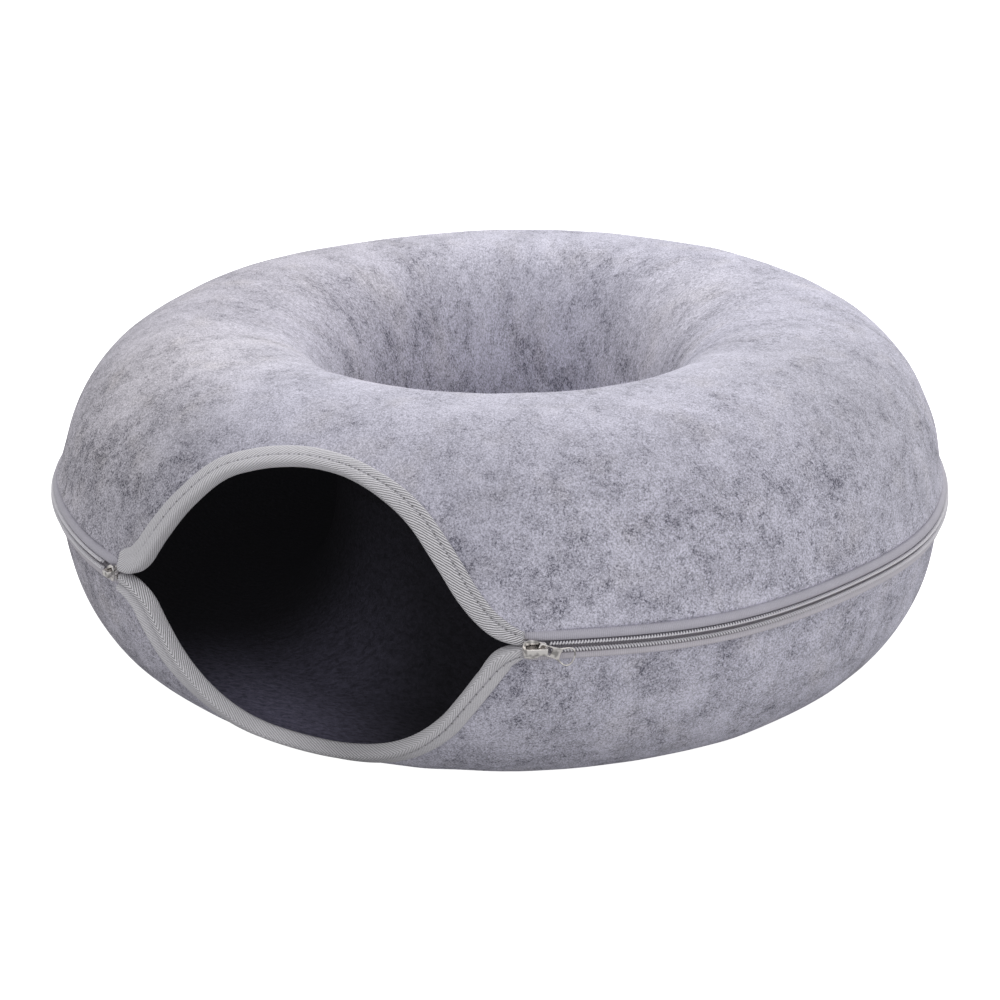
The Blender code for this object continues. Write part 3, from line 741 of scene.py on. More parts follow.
def nickel_plate(settings):
    """Bright nickel on cast zinc: warm-white metal whose polish is softened by handling marks."""
    made, node, place = new_material("nickel_plated_zinc")
    # Handling marks about 1.4 mm long, and painted reflections: dark patches about 3 mm across
    links = {"Vector": place, "Scale": 700.0, "Detail": 3.0, "Roughness": 0.6}
    marks = node("TexNoise", links)
    reflection_patches = node("TexNoise", {"Vector": place, "Scale": 330.0, "Detail": 1.0})
    bright = node("MapRange", (reflection_patches, 0.36, 0.52))
    dark_reflection = settings.plating * 0.45
    surface = {
        "Base Color": node("Mix", (bright, dark_reflection, settings.plating), **BLEND),
        "Metallic": 1.0,
        "Roughness": node("MapRange", (marks, 0.3, 0.7, 0.1, 0.22)),
        "Normal": node("Bump", {"Height": marks, "Strength": 0.15, "Distance": 0.05 * MM}),
    }
    node("OutputMaterial", (node("BsdfPrincipled", surface),))
    return made


def felt_lumps(points, from_edge, height):
    """Slow waves of the moulded face, from -1 to 1, still near the sewn edges."""
    draw = np.random.default_rng(LUMP_SEED)
    total = np.zeros(points.shape[:-1])
    for size in LUMP_SIZES:
        for _ in range(WAVES_PER_SIZE):
            direction = unit(draw.normal(size=3))
            phase = draw.uniform(0, math.tau)
            share = (size / LUMP_SIZES[0]) ** LUMP_FALLOFF
            total += share * np.cos(points @ direction * math.tau / size + phase)
    calm = smooth_step(from_edge, *STILL_NEAR_EDGE) * smooth_step(height, *STILL_NEAR_ZIP)
    return total / LUMP_SUM * calm * (height < ZIP_HEIGHT - STANDING_BAND)


def felt_place(half, azimuth, turn):
    """Where the fibres of a point lay before moulding, in mm: drawn apart down the hole's wall."""
    radius, height = section_point(half, turn)
    shape = HALVES[half]
    inward = np.maximum(CREST_RADIUS - radius, 0)
    share = np.clip(inward / (CREST_RADIUS - WAIST_RADIUS), 0, 1)
    ease = 1 / (1 + (HOLE_STRETCH - 1) * smooth_step(share, 0.0, STRETCH_FULL))
    drop = (shape["depth"] - height) * ease
    radius = np.where(inward > 0, CREST_RADIUS - inward * ease, radius)
    height = np.where(inward > 0, shape["depth"] - drop, height)
    return on_ring(radius, azimuth, height * shape["up"])


def felt_shell(half, settings, materials):
    """One moulded half: its outer face, its shade-painted back and the cut edges between them."""
    up = HALVES[half]["up"]
    mouth = even_azimuths(half, (-MOUTH_HALF_SPAN, MOUTH_HALF_SPAN), MOUTH_FACES)
    back = np.linspace(MOUTH_HALF_SPAN, 360 - MOUTH_HALF_SPAN, BACK_FACES + 1)[1:-1]
    azimuth_deg = np.concatenate([mouth, back])
    in_mouth = np.abs(azimuth_deg) < MOUTH_HALF_SPAN
    edge = np.full(len(azimuth_deg), ZIP_EDGE)
    edge[in_mouth] = mouth_height(half, azimuth_deg[in_mouth])
    turns, lengths = section_arc(half)
    start = np.interp(turn_at(half, edge), turns, lengths)[:, None]
    share = np.linspace(0, 1, SECTION_FACES + 1)[1:] ** ROW_CROWDING
    lip = start + np.linspace(0, LIP_LENGTH, LIP_FACES + 1)
    along = np.concatenate([lip, lip[:, -1:] + (lengths[-1] - lip[:, -1:]) * share], 1)
    turn = np.interp(along, lengths, turns)
    azimuth = np.radians(azimuth_deg)[:, None] + np.zeros_like(turn)
    _, height = section_point(half, turn)
    heights, *lifts = zip(*ZIP_TUCK)
    tuck = np.interp(height, heights, lifts[list(HALVES).index(half)])
    if half == "lower":
        toward = np.cos(azimuth - math.radians(FULL_SIDE_DEG)) / 2 + 0.5
        tuck = tuck + toward * np.interp(height, *zip(*FULL_SIDE))
    # The tuck belongs to the zip, so it fades where the mouth cuts the zip away
    off_mouth = np.abs((azimuth_deg + 180) % 360 - 180)[:, None]
    lift = np.where(np.cos(turn) > 0, tuck, 0)
    lift = lift * smooth_step(off_mouth, MOUTH_HALF_SPAN, TUCK_FULL_DEG)
    plain = ring_point(half, azimuth, turn)
    lumps = felt_lumps(plain, along - start, np.abs(plain[..., 2]))
    lift = lift + settings.lump / MM * lumps
    outer = ring_point(half, azimuth, turn, lift)
    inner = ring_point(half, azimuth, turn, lift * INNER_FOLLOWS - FELT_THICKNESS)
    for grid in (outer, inner):
        at_waist = np.hypot(grid[..., 0], grid[..., 1]) < CREST_RADIUS
        trim = np.where(at_waist, WAIST_EDGE, ZIP_EDGE)
        grid[..., 2] = np.maximum(grid[..., 2] * up, trim) * up
    columns, rows = turn.shape
    count = columns * rows
    outer_faces = grid_faces(columns, rows)
    inner_faces = grid_faces(columns, rows, start=count)[:, ::-1]
    rims = []
    for row, order in ((0, 1), (rows - 1, -1)):
        rim = np.arange(columns) * rows + row
        beside = np.roll(rim, -1)
        rims.append(np.stack([rim, rim + count, beside + count, beside], -1)[:, ::order])
    faces = np.concatenate([outer_faces, inner_faces, *rims])[:, ::up]
    place = felt_place(half, azimuth, turn)
    return add_piece(
        half + "_felt_shell",
        settle(np.stack([outer, inner])),
        faces,
        materials,
        half + "_half_ring",
        ("felt_place", np.stack([place, place])),
        (np.arange(len(faces)) >= len(outer_faces)).astype(np.int32),
    )


def binding_reach(half, azimuth_deg):
    """How far the tape's band reaches over the felt in mm, and the seam's share of that."""
    azimuths, *columns = zip(*BINDING_REACH)
    first = 2 * list(HALVES).index(half)
    return [np.interp(azimuth_deg, azimuths, column) for column in columns[first : first + 2]]


def edge_frames(half, azimuth_deg):
    """For each azimuth on the mouth's edge: azimuth, turn, and their change per mm inwards."""

    def edge(angle_deg):
        return np.radians(angle_deg), turn_at(half, mouth_height(half, angle_deg))

    step, small = 0.05, 1e-4
    azimuth, turn = edge(azimuth_deg)
    run = ring_point(half, *edge(azimuth_deg + step)) - ring_point(half, *edge(azimuth_deg - step))
    rates = []
    for by_azimuth, by_turn in ((small, 0), (0, small)):
        after = ring_point(half, azimuth + by_azimuth, turn + by_turn)
        before = ring_point(half, azimuth - by_azimuth, turn - by_turn)
        rates.append((after - before) / (2 * small))
    into_felt = unit(np.cross(np.cross(*rates), run))
    into_felt *= np.sign((into_felt * rates[1]).sum(-1, keepdims=True))
    return azimuth, turn, *((into_felt * rate).sum(-1) / (rate**2).sum(-1) for rate in rates)


# The folded tape's section, round from the band's sewn edge: (place on the band, 0 at the felt's
# cut edge, 1 at the seam and 2 at the sewn edge; further way into the felt and lift off it in mm)
BINDING_SECTION = (
    (2.0, 0.0, 0.0), (2.0, 0.1, 0.7), (1.96, 0.0, 1.15), (1.85, 0.0, 1.38), (1.6, 0.0, 1.5),
    (1.35, 0.0, 1.48), (1.0, 0.75, 1.32), (1.0, 0.3, 1.08), (1.0, 0.0, 0.95), (1.0, -0.3, 1.1),
    (1.0, -0.75, 1.42), (0.7, 0.0, 1.75), (0.4, 0.0, 1.9), (0.12, 0.0, 1.85), (0.0, -0.7, 1.55),
    (0.0, -1.45, 0.9), (0.0, -1.9, -0.1), (0.0, -2.05, -2.0), (0.0, -1.95, -4.2),
    (0.0, -1.55, -5.6), (0.0, -0.7, -6.35), (0.2, 0.0, -6.6), (1.0, 0.0, -6.6), (1.95, 0.0, -6.5),
    (2.0, 0.0, -6.1), (1.98, 0.0, -5.6), (1.0, 0.0, -5.5), (0.0, -0.3, -5.3), (0.0, -0.7, -2.0),
    (0.0, -0.3, 0.15), (1.0, 0.0, 0.0),
)
# How many parts each of its steps is cut into, the row at the middle of the fold, and the lift
# above which a point is on the tape's face
SECTION_CUTS = 2
FOLD_ROW = 17
TOP_LIFT = 0.5
# The rows of the seam's groove, and the (rows, lifts) that fill it where the upper tape's left end
# hides the seam
GROOVE_ROWS = [6, 7, 8, 9, 10]
GROOVE_FILLED = ((5, 11), (1.5, 1.7))
SEAM_FADES_DEG = (-25.0, -19.0)
SEAM_HIDDEN_MM = 9.0
# The lower tape's left part stands up in a ridge along the band's sewn edge
RIDGE_LIFTS = (0.0, 1.6, 2.6, 2.7, 1.8, 0.2, -0.8, -0.9, -0.8, -0.8, -0.8, -0.4)
RIDGE_FADES_DEG = (-21.0, -14.0)
# The band's ends are rounded off over this length, and are this share as high where they stop
END_ROUNDING = 1.4
END_SHARE = 0.1


def smooth_outline(outline):
    """A closed outline whose steps are cut into parts along a smooth curve."""
    points = np.array(outline, float)
    before, after = np.roll(points, 1, axis=0), np.roll(points, -1, axis=0)
    slope = (after - before) / 2
    shares = np.arange(SECTION_CUTS) / SECTION_CUTS
    cuts = [hermite(t, points, after, slope, np.roll(slope, -1, axis=0)) for t in shares]
    return np.stack(cuts, 1).reshape(-1, points.shape[1])


def band_distance(half, azimuth_deg, place, extra):
    """How far into the felt a place on the band lies, in mm, at each azimuth."""
    leg, seam = (value[:, None] for value in binding_reach(half, azimuth_deg))
    near, far = np.minimum(place, 1), np.maximum(place - 1, 0)
    return leg * (seam * near + (1 - seam) * far) + extra


def on_binding(half, azimuth_deg, inward, lift):
    """Points this far into the felt from the mouth's edge, one row for each azimuth."""
    azimuth, turn, azimuth_rate, turn_rate = (v[:, None] for v in edge_frames(half, azimuth_deg))
    return ring_point(
        half,
        azimuth + azimuth_rate * inward,
        np.maximum(turn + turn_rate * inward, 1e-3),
        lift + np.zeros_like(inward),
    )


def seam_depth(half, azimuth_deg):
    """How deep the seam draws the tape in, from 1 to 0 where the upper tape's left end hides it."""
    if half == "lower":
        return np.ones_like(azimuth_deg)
    return smooth_step(azimuth_deg, *SEAM_FADES_DEG)


def band_lift(half, azimuth_deg, section):
    """The lift of each point of the section off the felt, one row for each azimuth."""
    flat = np.array(BINDING_SECTION)
    flat[GROOVE_ROWS, 2] = np.interp(GROOVE_ROWS, *GROOVE_FILLED)
    ridged = np.array(BINDING_SECTION)
    ridged[: len(RIDGE_LIFTS), 2] += RIDGE_LIFTS
    flat, ridged = smooth_outline(flat)[:, 2], smooth_outline(ridged)[:, 2]
    depth = seam_depth(half, azimuth_deg)[:, None]
    lift = section[:, 2] * depth + flat * (1 - depth)
    if half == "lower":
        ridge = 1 - smooth_step(azimuth_deg, *RIDGE_FADES_DEG)[:, None]
        lift = lift + (ridged - section[:, 2]) * ridge
    # The ends are rounded off where they are sewn down
    lengths = edge_lengths(half, azimuth_deg)
    from_end = np.minimum(lengths, lengths[-1] - lengths)
    end = np.sqrt(np.clip(from_end / END_ROUNDING, END_SHARE, 1))[:, None]
    return np.where(lift > 0, lift * end, lift)


def closed_loft(points, order=1):
    """Faces of a row of closed sections, with both ends closed. An order of -1 turns them over."""
    sections, around = points.shape[:2]
    ring = np.arange(around)
    first = np.arange(sections - 1)[:, None] * around + ring
    beside = first - ring + np.roll(ring, -1)
    sides = np.stack([first, beside, beside + around, first + around], -1).reshape(-1, 4)
    far_end = (sections - 1) * around + ring
    return [face[::order] for face in (*sides.tolist(), ring[::-1].tolist(), far_end.tolist())]


def mouth_binding(half, material):
    """The twill tape, folded over the felt's cut edge from corner to corner."""
    section = smooth_outline(BINDING_SECTION)
    azimuth_deg = even_azimuths(half, BINDING_SPAN, BINDING_STEPS)
    inward = band_distance(half, azimuth_deg, section[:, 0], section[:, 1])
    points = on_binding(half, azimuth_deg, inward, band_lift(half, azimuth_deg, section))
    steps = np.linalg.norm(np.diff(points, axis=1), axis=-1)
    lengths = np.concatenate([np.zeros((len(points), 1)), np.cumsum(steps, axis=1)], 1)
    across = lengths[:, FOLD_ROW * SECTION_CUTS, None] - lengths
    along = edge_lengths(half, azimuth_deg)[:, None] + 0 * across
    seam = band_distance(half, azimuth_deg, np.array([1.0]), 0.0)
    sewn_flat = SEAM_HIDDEN_MM * (1 - seam_depth(half, azimuth_deg))[:, None]
    on_top = section[:, 2] > TOP_LIFT
    from_seam = np.where(on_top, np.abs(inward - seam) + sewn_flat, SEAM_HIDDEN_MM)
    return add_piece(
        half + "_mouth_tape",
        settle(points),
        closed_loft(points, -HALVES[half]["up"]),
        [material],
        half + "_mouth_binding",
        ("tape_place", np.stack([along, across, from_seam], -1)),
    )


TUBE_SIDES = 6
# A stitch's rings, the gap it leaves to a needle hole, its width and height, and how far it lies
# off the felt at its ends and rises between them
STITCH_RINGS = 9
STITCH_GAP = 0.5
STITCH_SECTION = (0.42, 0.3)
STITCH_LIFT = 0.8
STITCH_RISE = 0.35


def tube(centres, across, out, width, height):
    """Points of a tube round a line of centres, with an oval section given by two directions."""
    angle = np.arange(TUBE_SIDES) * math.tau / TUBE_SIDES
    return (
        centres[..., None, :]
        + across[..., None, :] * (np.cos(angle)[:, None] * width / 2)
        + out[..., None, :] * (np.sin(angle)[:, None] * height / 2)
    )


def groove_stitches(half, settings, material):
    """Lockstitches that lie in the groove between the tape's band and its roll."""
    pitch = settings.stitch / MM
    samples = np.linspace(*BINDING_SPAN, EDGE_SAMPLES)
    lengths = edge_lengths(half, samples)
    points, faces = [], []
    arch = np.sin(np.linspace(0, math.pi, STITCH_RINGS))[:, None] ** 0.5
    rise = STITCH_LIFT + STITCH_RISE * arch
    for k in range(int(lengths[-1] / pitch)):
        along = np.linspace(k * pitch + STITCH_GAP, (k + 1) * pitch - STITCH_GAP, STITCH_RINGS)
        azimuth_deg = np.interp(along, lengths, samples)
        inward = band_distance(half, azimuth_deg, np.array([1.0]), 0.0)
        line, above = (on_binding(half, azimuth_deg, inward, rise + up)[:, 0] for up in (0, 1))
        out = above - line
        across = unit(np.cross(np.gradient(line, axis=0), out))
        ring = tube(line, across, out, *STITCH_SECTION)
        start = k * STITCH_RINGS * TUBE_SIDES
        faces += [[v + start for v in f] for f in closed_loft(ring)]
        points.append(ring)
    points = settle(np.stack(points))
    return add_piece(half + "_mouth_stitches", points, faces, [material])


# The zip tape's outside: a woven roll that the coil's flange leaves, as (height, lift off the felt)
TAPE_ROLL = {
    "upper": (
        (0.2, -0.95), (1.2, -0.9), (2.3, -0.75), (2.75, 0.3), (3.1, 1.1), (3.8, 1.7), (4.7, 1.95),
        (5.6, 1.85), (6.4, 1.4), (6.9, 0.7), (7.1, 0.0), (7.2, -1.4),
    ),
    "lower": (
        (0.2, -0.95), (1.2, -0.9), (2.3, -0.75), (2.7, 0.0), (3.0, 0.6), (3.7, 1.15), (4.7, 1.65),
        (5.7, 2.1), (6.5, 2.2), (6.95, 1.7), (7.15, 0.5), (7.2, -1.4),
    ),
}
# How deep the tape lies where it goes under the mouth's tape, its thickness, and how far behind the
# felt's face its back lies at least
TAPE_SUNK = 1.1
TAPE_THICKNESS = 0.5
TAPE_BACK = 1.3
# Its ends rise from there over this much azimuth
TAPE_END_DEG = (0.2, 1.5)


def around_zip(half_span, steps):
    """Azimuths from the mouth's right corner round the back to its left corner, in radians."""
    return np.radians(np.linspace(half_span, 360 - half_span, steps + 1))


def zip_tape(half, material):
    """One woven tape of the zip: a roll beside the coil, and its back on the felt."""
    up = HALVES[half]["up"]
    table = np.array(TAPE_ROLL[half])
    base = section_point(half, turn_at(half, np.maximum(table[:, 0], ZIP_EDGE)))[0]
    azimuth = around_zip(ZIP_HALF_SPAN, TAPE_STEPS)[:, None]
    from_end = np.minimum(azimuth - azimuth[0], azimuth[-1] - azimuth)
    shown = smooth_step(np.degrees(from_end), *TAPE_END_DEG)
    outer = base + (table[:, 1] + TAPE_SUNK) * shown - TAPE_SUNK
    under = np.minimum(outer - TAPE_THICKNESS, base - TAPE_BACK)
    radius = np.concatenate([outer, under[:, ::-1]], 1)
    height = np.concatenate([table[:, 0], table[::-1, 0]]) * up
    points = on_ring(radius, azimuth, height)
    place = np.stack(np.broadcast_arrays(azimuth * RING_RADIUS, height, 0.0), -1)
    return add_piece(
        half + "_zip_webbing",
        settle(points),
        closed_loft(points, up),
        [material],
        half + "_zip_tape",
        ("tape_place", place),
    )


# How proud a row sits, how far its turns lean out towards their foot, and how much larger they are.
# The lower row sits prouder, so that the upper one doesn't shade it
COIL_ROWS = {"upper": (0.0, 0.0, 1.0), "lower": (0.4, 0.6, 1.2)}
COIL_MIDDLE = 1.75
# One turn of the coil, seen along the zip: (height from the zip, distance out of the row's middle)
COIL_TURN = (
    (1.3, 0.1), (1.45, 0.65), (1.75, 0.95), (2.05, 0.65), (2.2, 0.0), (2.05, -0.7), (1.7, -0.95),
    (1.35, -0.6),
)


def zip_coil(half, settings, material):
    """A coil of nylon wire, wound round the ring's edge in long turns."""
    up = HALVES[half]["up"]
    span = math.radians(360 - 2 * COIL_HALF_SPAN)
    turns = int(span * RING_RADIUS / (settings.pitch / MM))
    count = turns * len(COIL_TURN)
    azimuth = around_zip(COIL_HALF_SPAN, count)
    if up < 0:
        # The lower row's turns lie between the upper row's
        azimuth = np.minimum(azimuth + span / turns / 2, azimuth[-1])
    height, out = np.resize(COIL_TURN, (count + 1, 2)).T
    proud, lean, grown = COIL_ROWS[half]
    off_middle = (height - COIL_MIDDLE) * grown
    radius = COIL_BASE + out + proud + off_middle * lean
    centres = on_ring(radius, azimuth, (COIL_MIDDLE + off_middle) * up)
    forward = unit(np.gradient(centres, axis=0))
    axis = on_ring(1.0, azimuth + math.pi / 2, 0.0)
    axis = unit(axis - forward * (axis * forward).sum(-1, keepdims=True))
    wire = settings.wire / MM
    points = tube(centres, axis, np.cross(forward, axis), wire, wire)
    faces = closed_loft(points)
    name = half + "_coil_wire"
    return add_piece(name, settle(points), faces, [material], half + "_zip_coil")


# The slider: X runs away from the mouth, Y across the zip, and Z out of the ring from the plate
SLIDER_AZIMUTH = 28.1
SLIDER_SEAT = 4.5
METAL_BEVEL = 0.28
SHARP_ANGLE = math.radians(40)
# The left slider is drawn smaller, with its far end under the zip's tapes
LEFT_FIT = Matrix.Translation((-4.0, 0, -0.3)) @ Matrix.Diagonal((0.5, 0.9, 0.8, 1))
SLIDER_PLATE = (
    (-6.3, 0.0), (-6.2, 1.9), (-5.6, 3.5), (-4.3, 4.6), (-2.4, 5.0), (0.2, 4.7), (2.4, 3.7),
    (4.6, 3.3), (5.4, 2.5), (5.6, 0.0),
)
BRIDGE_SIDE = (
    (-6.0, 0.6), (-6.3, 3.0), (-5.8, 4.2), (-4.6, 4.7), (4.6, 4.7), (5.6, 4.3), (5.9, 3.4),
    (5.9, 0.6), (4.5, 0.6), (4.5, 3.5), (-4.4, 3.5), (-4.7, 0.6),
)
# The nose between the two plates, seen from the mouth, with the slots that the coils run into
NOSE_END = (
    (-4.4, 1.2), (-3.0, 1.4), (3.0, 1.4), (4.4, 1.2), (4.6, 0.4), (1.4, 0.2), (1.2, -1.0),
    (4.2, -1.2), (4.4, -2.4), (3.6, -3.0), (-3.6, -3.0), (-4.4, -2.4), (-4.2, -1.2), (-1.2, -1.0),
    (-1.4, 0.2), (-4.6, 0.4),
)


def mirrored(side):
    """A closed outline from its upper side."""
    return [*side, *((x, -y) for x, y in side[::-1] if y > 0)]


# Each part as (closed outlines, thickness, middle, which way the outline's plane faces)
SLIDER_PARTS = (
    ((mirrored(SLIDER_PLATE),), 1.4, (0, 0, 0.7), "Z"),
    ((BRIDGE_SIDE,), 3.4, (0, 0, 0.5), "Y"),
    ((NOSE_END,), 2.6, (-4.3, 0, 0), "X"),
)

# The pull lies on the bridge's far leg: an eye, a solid neck and an open round end
PULL_PIVOT = Vector((4.9, 0.2, 3.0))
PULL_DROOP_DEG = 20.0
PULL_SCALE = 0.88
PULL_EDGE = (
    (-4.6, 0.0), (-4.3, 2.4), (-3.4, 3.3), (0.0, 3.3), (3.6, 3.2), (6.2, 3.5), (8.6, 4.3),
    (10.6, 5.3), (12.2, 5.8), (13.8, 5.6), (15.2, 4.6), (16.1, 2.6), (16.4, 0.0),
)
PULL_EYE = ((-3.6, 0.0), (-3.4, 2.0), (-2.8, 2.5), (2.6, 2.4), (3.0, 1.9), (3.1, 0.0))
PULL_LOOP = (
    (8.2, 0.0), (8.4, 3.0), (9.4, 3.8), (10.9, 4.6), (12.3, 5.0), (13.5, 4.8), (14.6, 3.9),
    (15.3, 2.2), (15.6, 0.0),
)
PULL_OUTLINES = [mirrored(side) for side in (PULL_EDGE, PULL_EYE, PULL_LOOP)]
PULL_PARTS = ((PULL_OUTLINES, 0.9, (0, 0, 0), "Z"),)
PLANE_TURNS = {
    "Z": Matrix.Identity(4),
    "Y": Matrix.Rotation(math.radians(90), 4, "X"),
    "X": Matrix(((0, 0, 1, 0), (1, 0, 0, 0), (0, 1, 0, 0), (0, 0, 0, 1))),
}


def slider_seat(side):
    """The matrix that seats a slider on the zip at one corner of the mouth, from mm to metres."""
    middle, step = math.radians(SLIDER_AZIMUTH) * side, math.radians(1) * side
    azimuth = np.array([middle - step, middle, middle + step])
    line = settle(on_ring(RING_RADIUS + SLIDER_SEAT, azimuth, 0.0))
    before, place, after = (Vector(p) for p in line)
    away = (after - before).normalized()
    across = Vector((math.sin(middle), -math.cos(middle), 0)).cross(away).normalized()
    turn = Matrix((away, across, away.cross(across))).transposed().to_4x4()
    return Matrix.Translation(place) @ turn @ Matrix.Scale(MM, 4)


def plate_mesh(outlines, thickness):
    """A flat plate with rounded edges, cut out of its first outline, with the others as holes."""
    curve = bpy.data.curves.new("plate", "CURVE")
    curve.dimensions = "2D"
    curve.fill_mode = "BOTH"
    curve.extrude = thickness / 2 - METAL_BEVEL
    curve.bevel_depth = METAL_BEVEL
    curve.offset = -METAL_BEVEL
    curve.bevel_resolution = 2
    for outline in outlines:
        spline = curve.splines.new("POLY")
        spline.points.add(len(outline) - 1)
        spline.points.foreach_set("co", [c for x, y in outline for c in (x, y, 0, 1)])
        spline.use_cyclic_u = True
    holder = bpy.data.objects.new("plate", curve)
    bpy.context.scene.collection.objects.link(holder)
    shown = holder.evaluated_get(bpy.context.evaluated_depsgraph_get())
    mesh = bpy.data.meshes.new_from_object(shown)
    bpy.data.objects.remove(holder)
    return mesh


def metal_piece(name, parts, seat, material, replaced):
    """A piece of metal joined from flat plates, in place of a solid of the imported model."""
    points, faces = [], []
    for outlines, thickness, middle, facing in parts:
        mesh = plate_mesh(outlines, thickness)
        place = seat @ Matrix.Translation(middle) @ PLANE_TURNS[facing]
        start = len(points)
        points += [tuple(place @ v.co) for v in mesh.vertices]
        faces += [[start + v for v in polygon.vertices] for polygon in mesh.polygons]
        bpy.data.meshes.remove(mesh)
    piece = add_piece(name, np.array(points), faces, [material], replaced)
    piece.data.set_sharp_from_angle(angle=SHARP_ANGLE)


# How much flat felt each half takes, in square metres
FELT_AREAS = {"upper": 0.265, "lower": 0.288}


class CATCAVE_OT_felt_shells(bpy.types.Operator):
    """Build the two moulded felt halves"""

    bl_idname = "catcave.felt_shells"
    bl_label = "Felt Shells"

    def execute(self, context):
        settings = context.scene.catcave_felt
        materials = (felt_outside(settings), felt_inside(settings))
        for half, area in FELT_AREAS.items():
            piece = felt_shell(half, settings, materials)
        return {"FINISHED"}


class CATCAVE_OT_mouth_bindings(bpy.types.Operator):
    """Build the twill tape round the mouth and its stitches"""

    bl_idname = "catcave.mouth_bindings"
    bl_label = "Mouth Bindings"

    def execute(self, context):
        settings = context.scene.catcave_binding
        thread = sewing_thread(settings)
        for half in HALVES:
            piece = mouth_binding(half, twill_tape(half, settings))
            stitches = groove_stitches(half, settings, thread)
        return {"FINISHED"}


class CATCAVE_OT_zip_tapes(bpy.types.Operator):
    """Build the woven tapes on both sides of the coil"""

    bl_idname = "catcave.zip_tapes"
    bl_label = "Zip Tapes"

    def execute(self, context):
        settings = context.scene.catcave_zip
        weave = zip_webbing(settings)
        for half in HALVES:
            piece = zip_tape(half, weave)
        return {"FINISHED"}


class CATCAVE_OT_zip_coils(bpy.types.Operator):
    """Wind the nylon coils"""

    bl_idname = "catcave.zip_coils"
    bl_label = "Zip Coils"

    def execute(self, context):
        settings = context.scene.catcave_zip
        material = nylon(settings)
        for half in HALVES:
            zip_coil(half, settings, material)
        return {"FINISHED"}


class CATCAVE_OT_zip_metal(bpy.types.Operator):
    """Cast the sliders and the pull"""

    bl_idname = "catcave.zip_metal"
    bl_label = "Sliders And Pull"

    def execute(self, context):
        plating = nickel_plate(context.scene.catcave_metal)
        for side, name, fit in ((1, "right_slider", Matrix()), (-1, "left_slider", LEFT_FIT)):
            metal_piece("cast_" + name, SLIDER_PARTS, slider_seat(side) @ fit, plating, name)
        seat = slider_seat(1) @ Matrix.Translation(PULL_PIVOT) @ Matrix.Scale(PULL_SCALE, 4)
        seat = seat @ Matrix.Rotation(math.radians(-PULL_DROOP_DEG), 4, "Z")
        metal_piece("cast_pull", PULL_PARTS, seat, plating, "right_pull_tab")
        return {"FINISHED"}


# The photograph's view of the ring
CAMERA = {
    "azimuth_deg": 24.35,
    "elevation_deg": 22.643,
    "distance_mm": 1218.5,
    "lens_mm": 74.157,
    "aim_mm": (0.0, -8.5, 68.72),
    "aim_right_mm": -0.35,
}


def place_camera(scene):
    azimuth, elevation = (math.radians(CAMERA[k]) for k in ("azimuth_deg", "elevation_deg"))
    right = Vector((math.cos(azimuth), math.sin(azimuth), 0))
    back = Vector((math.sin(azimuth), -math.cos(azimuth), 0)) * math.cos(elevation)
    back.z = math.sin(elevation)
    aim = Vector(CAMERA["aim_mm"]) + right * CAMERA["aim_right_mm"]
    camera = bpy.data.objects.new("camera", bpy.data.cameras.new("camera"))
    camera.data.lens = CAMERA["lens_mm"]
    camera.data.sensor_fit = "HORIZONTAL"
    camera.data.sensor_width = 36
    camera.data.clip_end = 50
    turn = Matrix((right, back.cross(right), back)).transposed().to_4x4()
    camera.matrix_world = Matrix.Translation((aim + back * CAMERA["distance_mm"]) * MM) @ turn
    scene.collection.objects.link(camera)
    scene.camera = camera


# Soft square lamps round the ring, all turned to its middle: azimuth and elevation in degrees,
# distance and size in metres, power in watts
LAMPS = {
    "back_lamp": (190, 45, 1.7, 1.0, 17.0),
    "front_lamp": (24, 40, 1.6, 1.0, 1.9),
    "right_lamp": (80, 15, 1.6, 1.0, 2.2),
}
LAMP_AIM = Vector((0, 0, 0.1))
FLOOR_REACH = 12.0
FLOOR_DROP = 0.2
FLOOR_CORNERS = ((-1, -1), (1, -1), (1, 1), (-1, 1))


def soft_lamp(scene, name, azimuth_deg, elevation_deg, distance, size, power):
    """A square area lamp at a direction from the ring's middle, turned to it."""
    azimuth, elevation = math.radians(azimuth_deg), math.radians(elevation_deg)
    flat = math.cos(elevation)
    out = Vector((flat * math.sin(azimuth), -flat * math.cos(azimuth), math.sin(elevation)))
    lamp = bpy.data.objects.new(name, bpy.data.lights.new(name, "AREA"))
    lamp.data.shape = "SQUARE"
    lamp.data.size = size
    lamp.data.energy = power
    lamp.location = LAMP_AIM + out * distance
    lamp.rotation_euler = out.to_track_quat("Z", "Y").to_euler()
    scene.collection.objects.link(lamp)


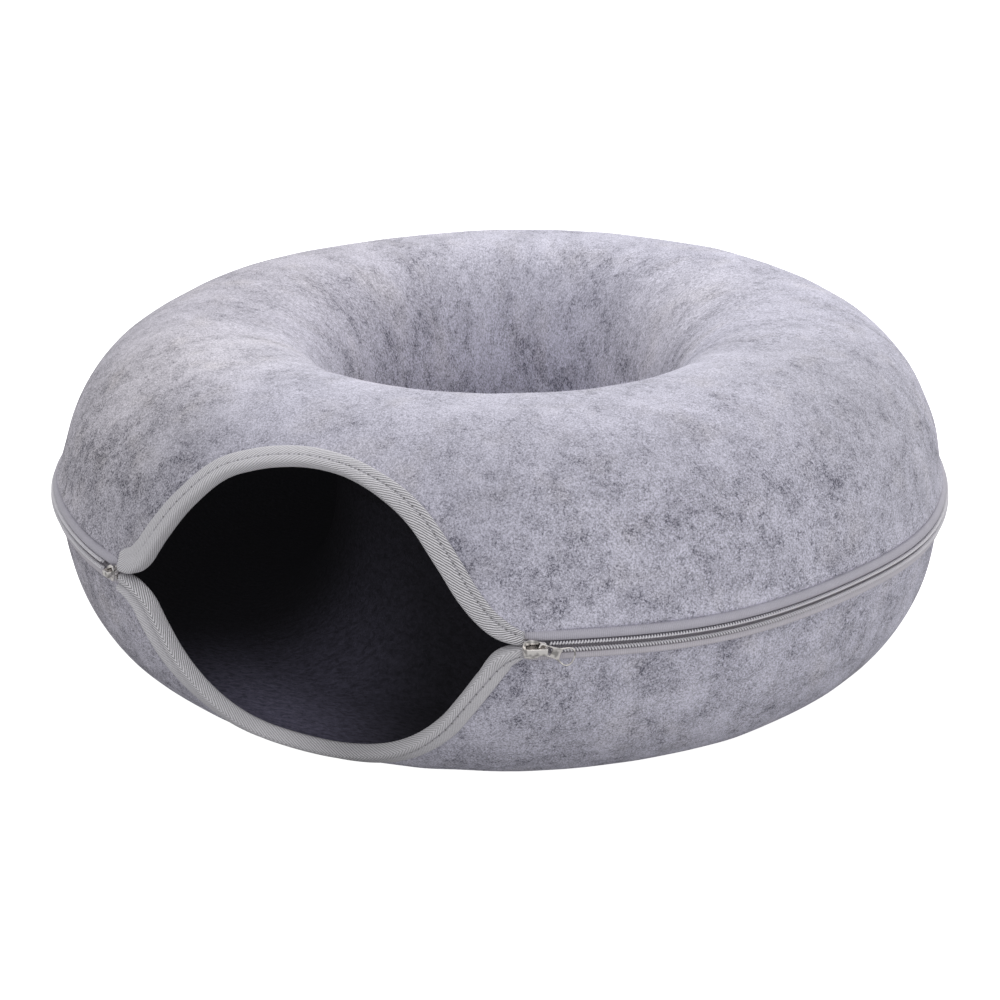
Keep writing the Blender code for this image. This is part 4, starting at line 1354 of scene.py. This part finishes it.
class CATCAVE_OT_stage(bpy.types.Operator):
    """Set the floor, the lamps and the camera"""

    bl_idname = "catcave.stage"
    bl_label = "Stage"

    def execute(self, context):
        scene, settings = context.scene, context.scene.catcave_stage
        made = bpy.data.materials.new("matt_white_floor")
        node = empty_tree(made)
        matt = {"Base Color": settings.floor, "Roughness": 0.9, "IOR": 1.45}
        # The floor is lit from below as a studio's light table is, so it stays white under the ring
        glow = node("Emission", {"Strength": settings.table})
        table = node("MixShader", {0: node("LightPath"), 2: glow})
        node("OutputMaterial", (node("AddShader", (node("BsdfPrincipled", matt), table)),))
        mesh = bpy.data.meshes.new("floor")
        corners = [(x * FLOOR_REACH, y * FLOOR_REACH, 0) for x, y in FLOOR_CORNERS]
        mesh.from_pydata(corners, [], [(0, 1, 2, 3)])
        mesh.materials.append(made)
        floor = bpy.data.objects.new("floor", mesh)
        floor.location.z = -FLOOR_DROP * MM
        scene.collection.objects.link(floor)
        # The room lights the cave evenly, and shows as plain white behind it
        world = bpy.data.worlds.new("studio")
        node = empty_tree(world)
        white = (1, 1, 1)
        room = node("Background", {"Color": white, "Strength": settings.sky})
        backdrop = node("Background", {"Color": white, "Strength": 1.0})
        node("OutputWorld", (node("MixShader", (node("LightPath"), room, backdrop)),))
        scene.world = world
        for name, (*place, power) in LAMPS.items():
            soft_lamp(scene, name, *place, power * settings.lamps)
        place_camera(scene)
        scene.view_settings.view_transform = "Standard"
        return {"FINISHED"}


PIECE_OPERATORS = (
    CATCAVE_OT_felt_shells,
    CATCAVE_OT_mouth_bindings,
    CATCAVE_OT_zip_tapes,
    CATCAVE_OT_zip_coils,
    CATCAVE_OT_zip_metal,
    CATCAVE_OT_stage,
)
SETTINGS = {
    "catcave_felt": CATCAVE_PG_felt,
    "catcave_binding": CATCAVE_PG_binding,
    "catcave_zip": CATCAVE_PG_zip,
    "catcave_metal": CATCAVE_PG_metal,
    "catcave_stage": CATCAVE_PG_stage,
}


class CATCAVE_PT_pieces(bpy.types.Panel):
    """Sizes, colours and build buttons of the cat cave"""

    bl_idname = "CATCAVE_PT_pieces"
    bl_label = "Felt Cat Cave"
    bl_space_type = "VIEW_3D"
    bl_region_type = "UI"
    bl_category = "Cat Cave"

    def draw(self, context):
        for operator in PIECE_OPERATORS:
            self.layout.operator(operator.bl_idname)
        for key, group in SETTINGS.items():
            box = self.layout.box()
            for name in group.__annotations__:
                box.prop(getattr(context.scene, key), name)


CLASSES = (*SETTINGS.values(), *PIECE_OPERATORS, CATCAVE_PT_pieces)


def register():
    for made in CLASSES:
        bpy.utils.register_class(made)
    for key, group in SETTINGS.items():
        setattr(bpy.types.Scene, key, PointerProperty(type=group))


def unregister():
    for key in SETTINGS:
        delattr(bpy.types.Scene, key)
    for made in reversed(CLASSES):
        bpy.utils.unregister_class(made)


def main():
    register()
    for operator in PIECE_OPERATORS:
        group, name = operator.bl_idname.split(".")
        getattr(getattr(bpy.ops, group), name)()


if __name__ == "__main__":
    main()
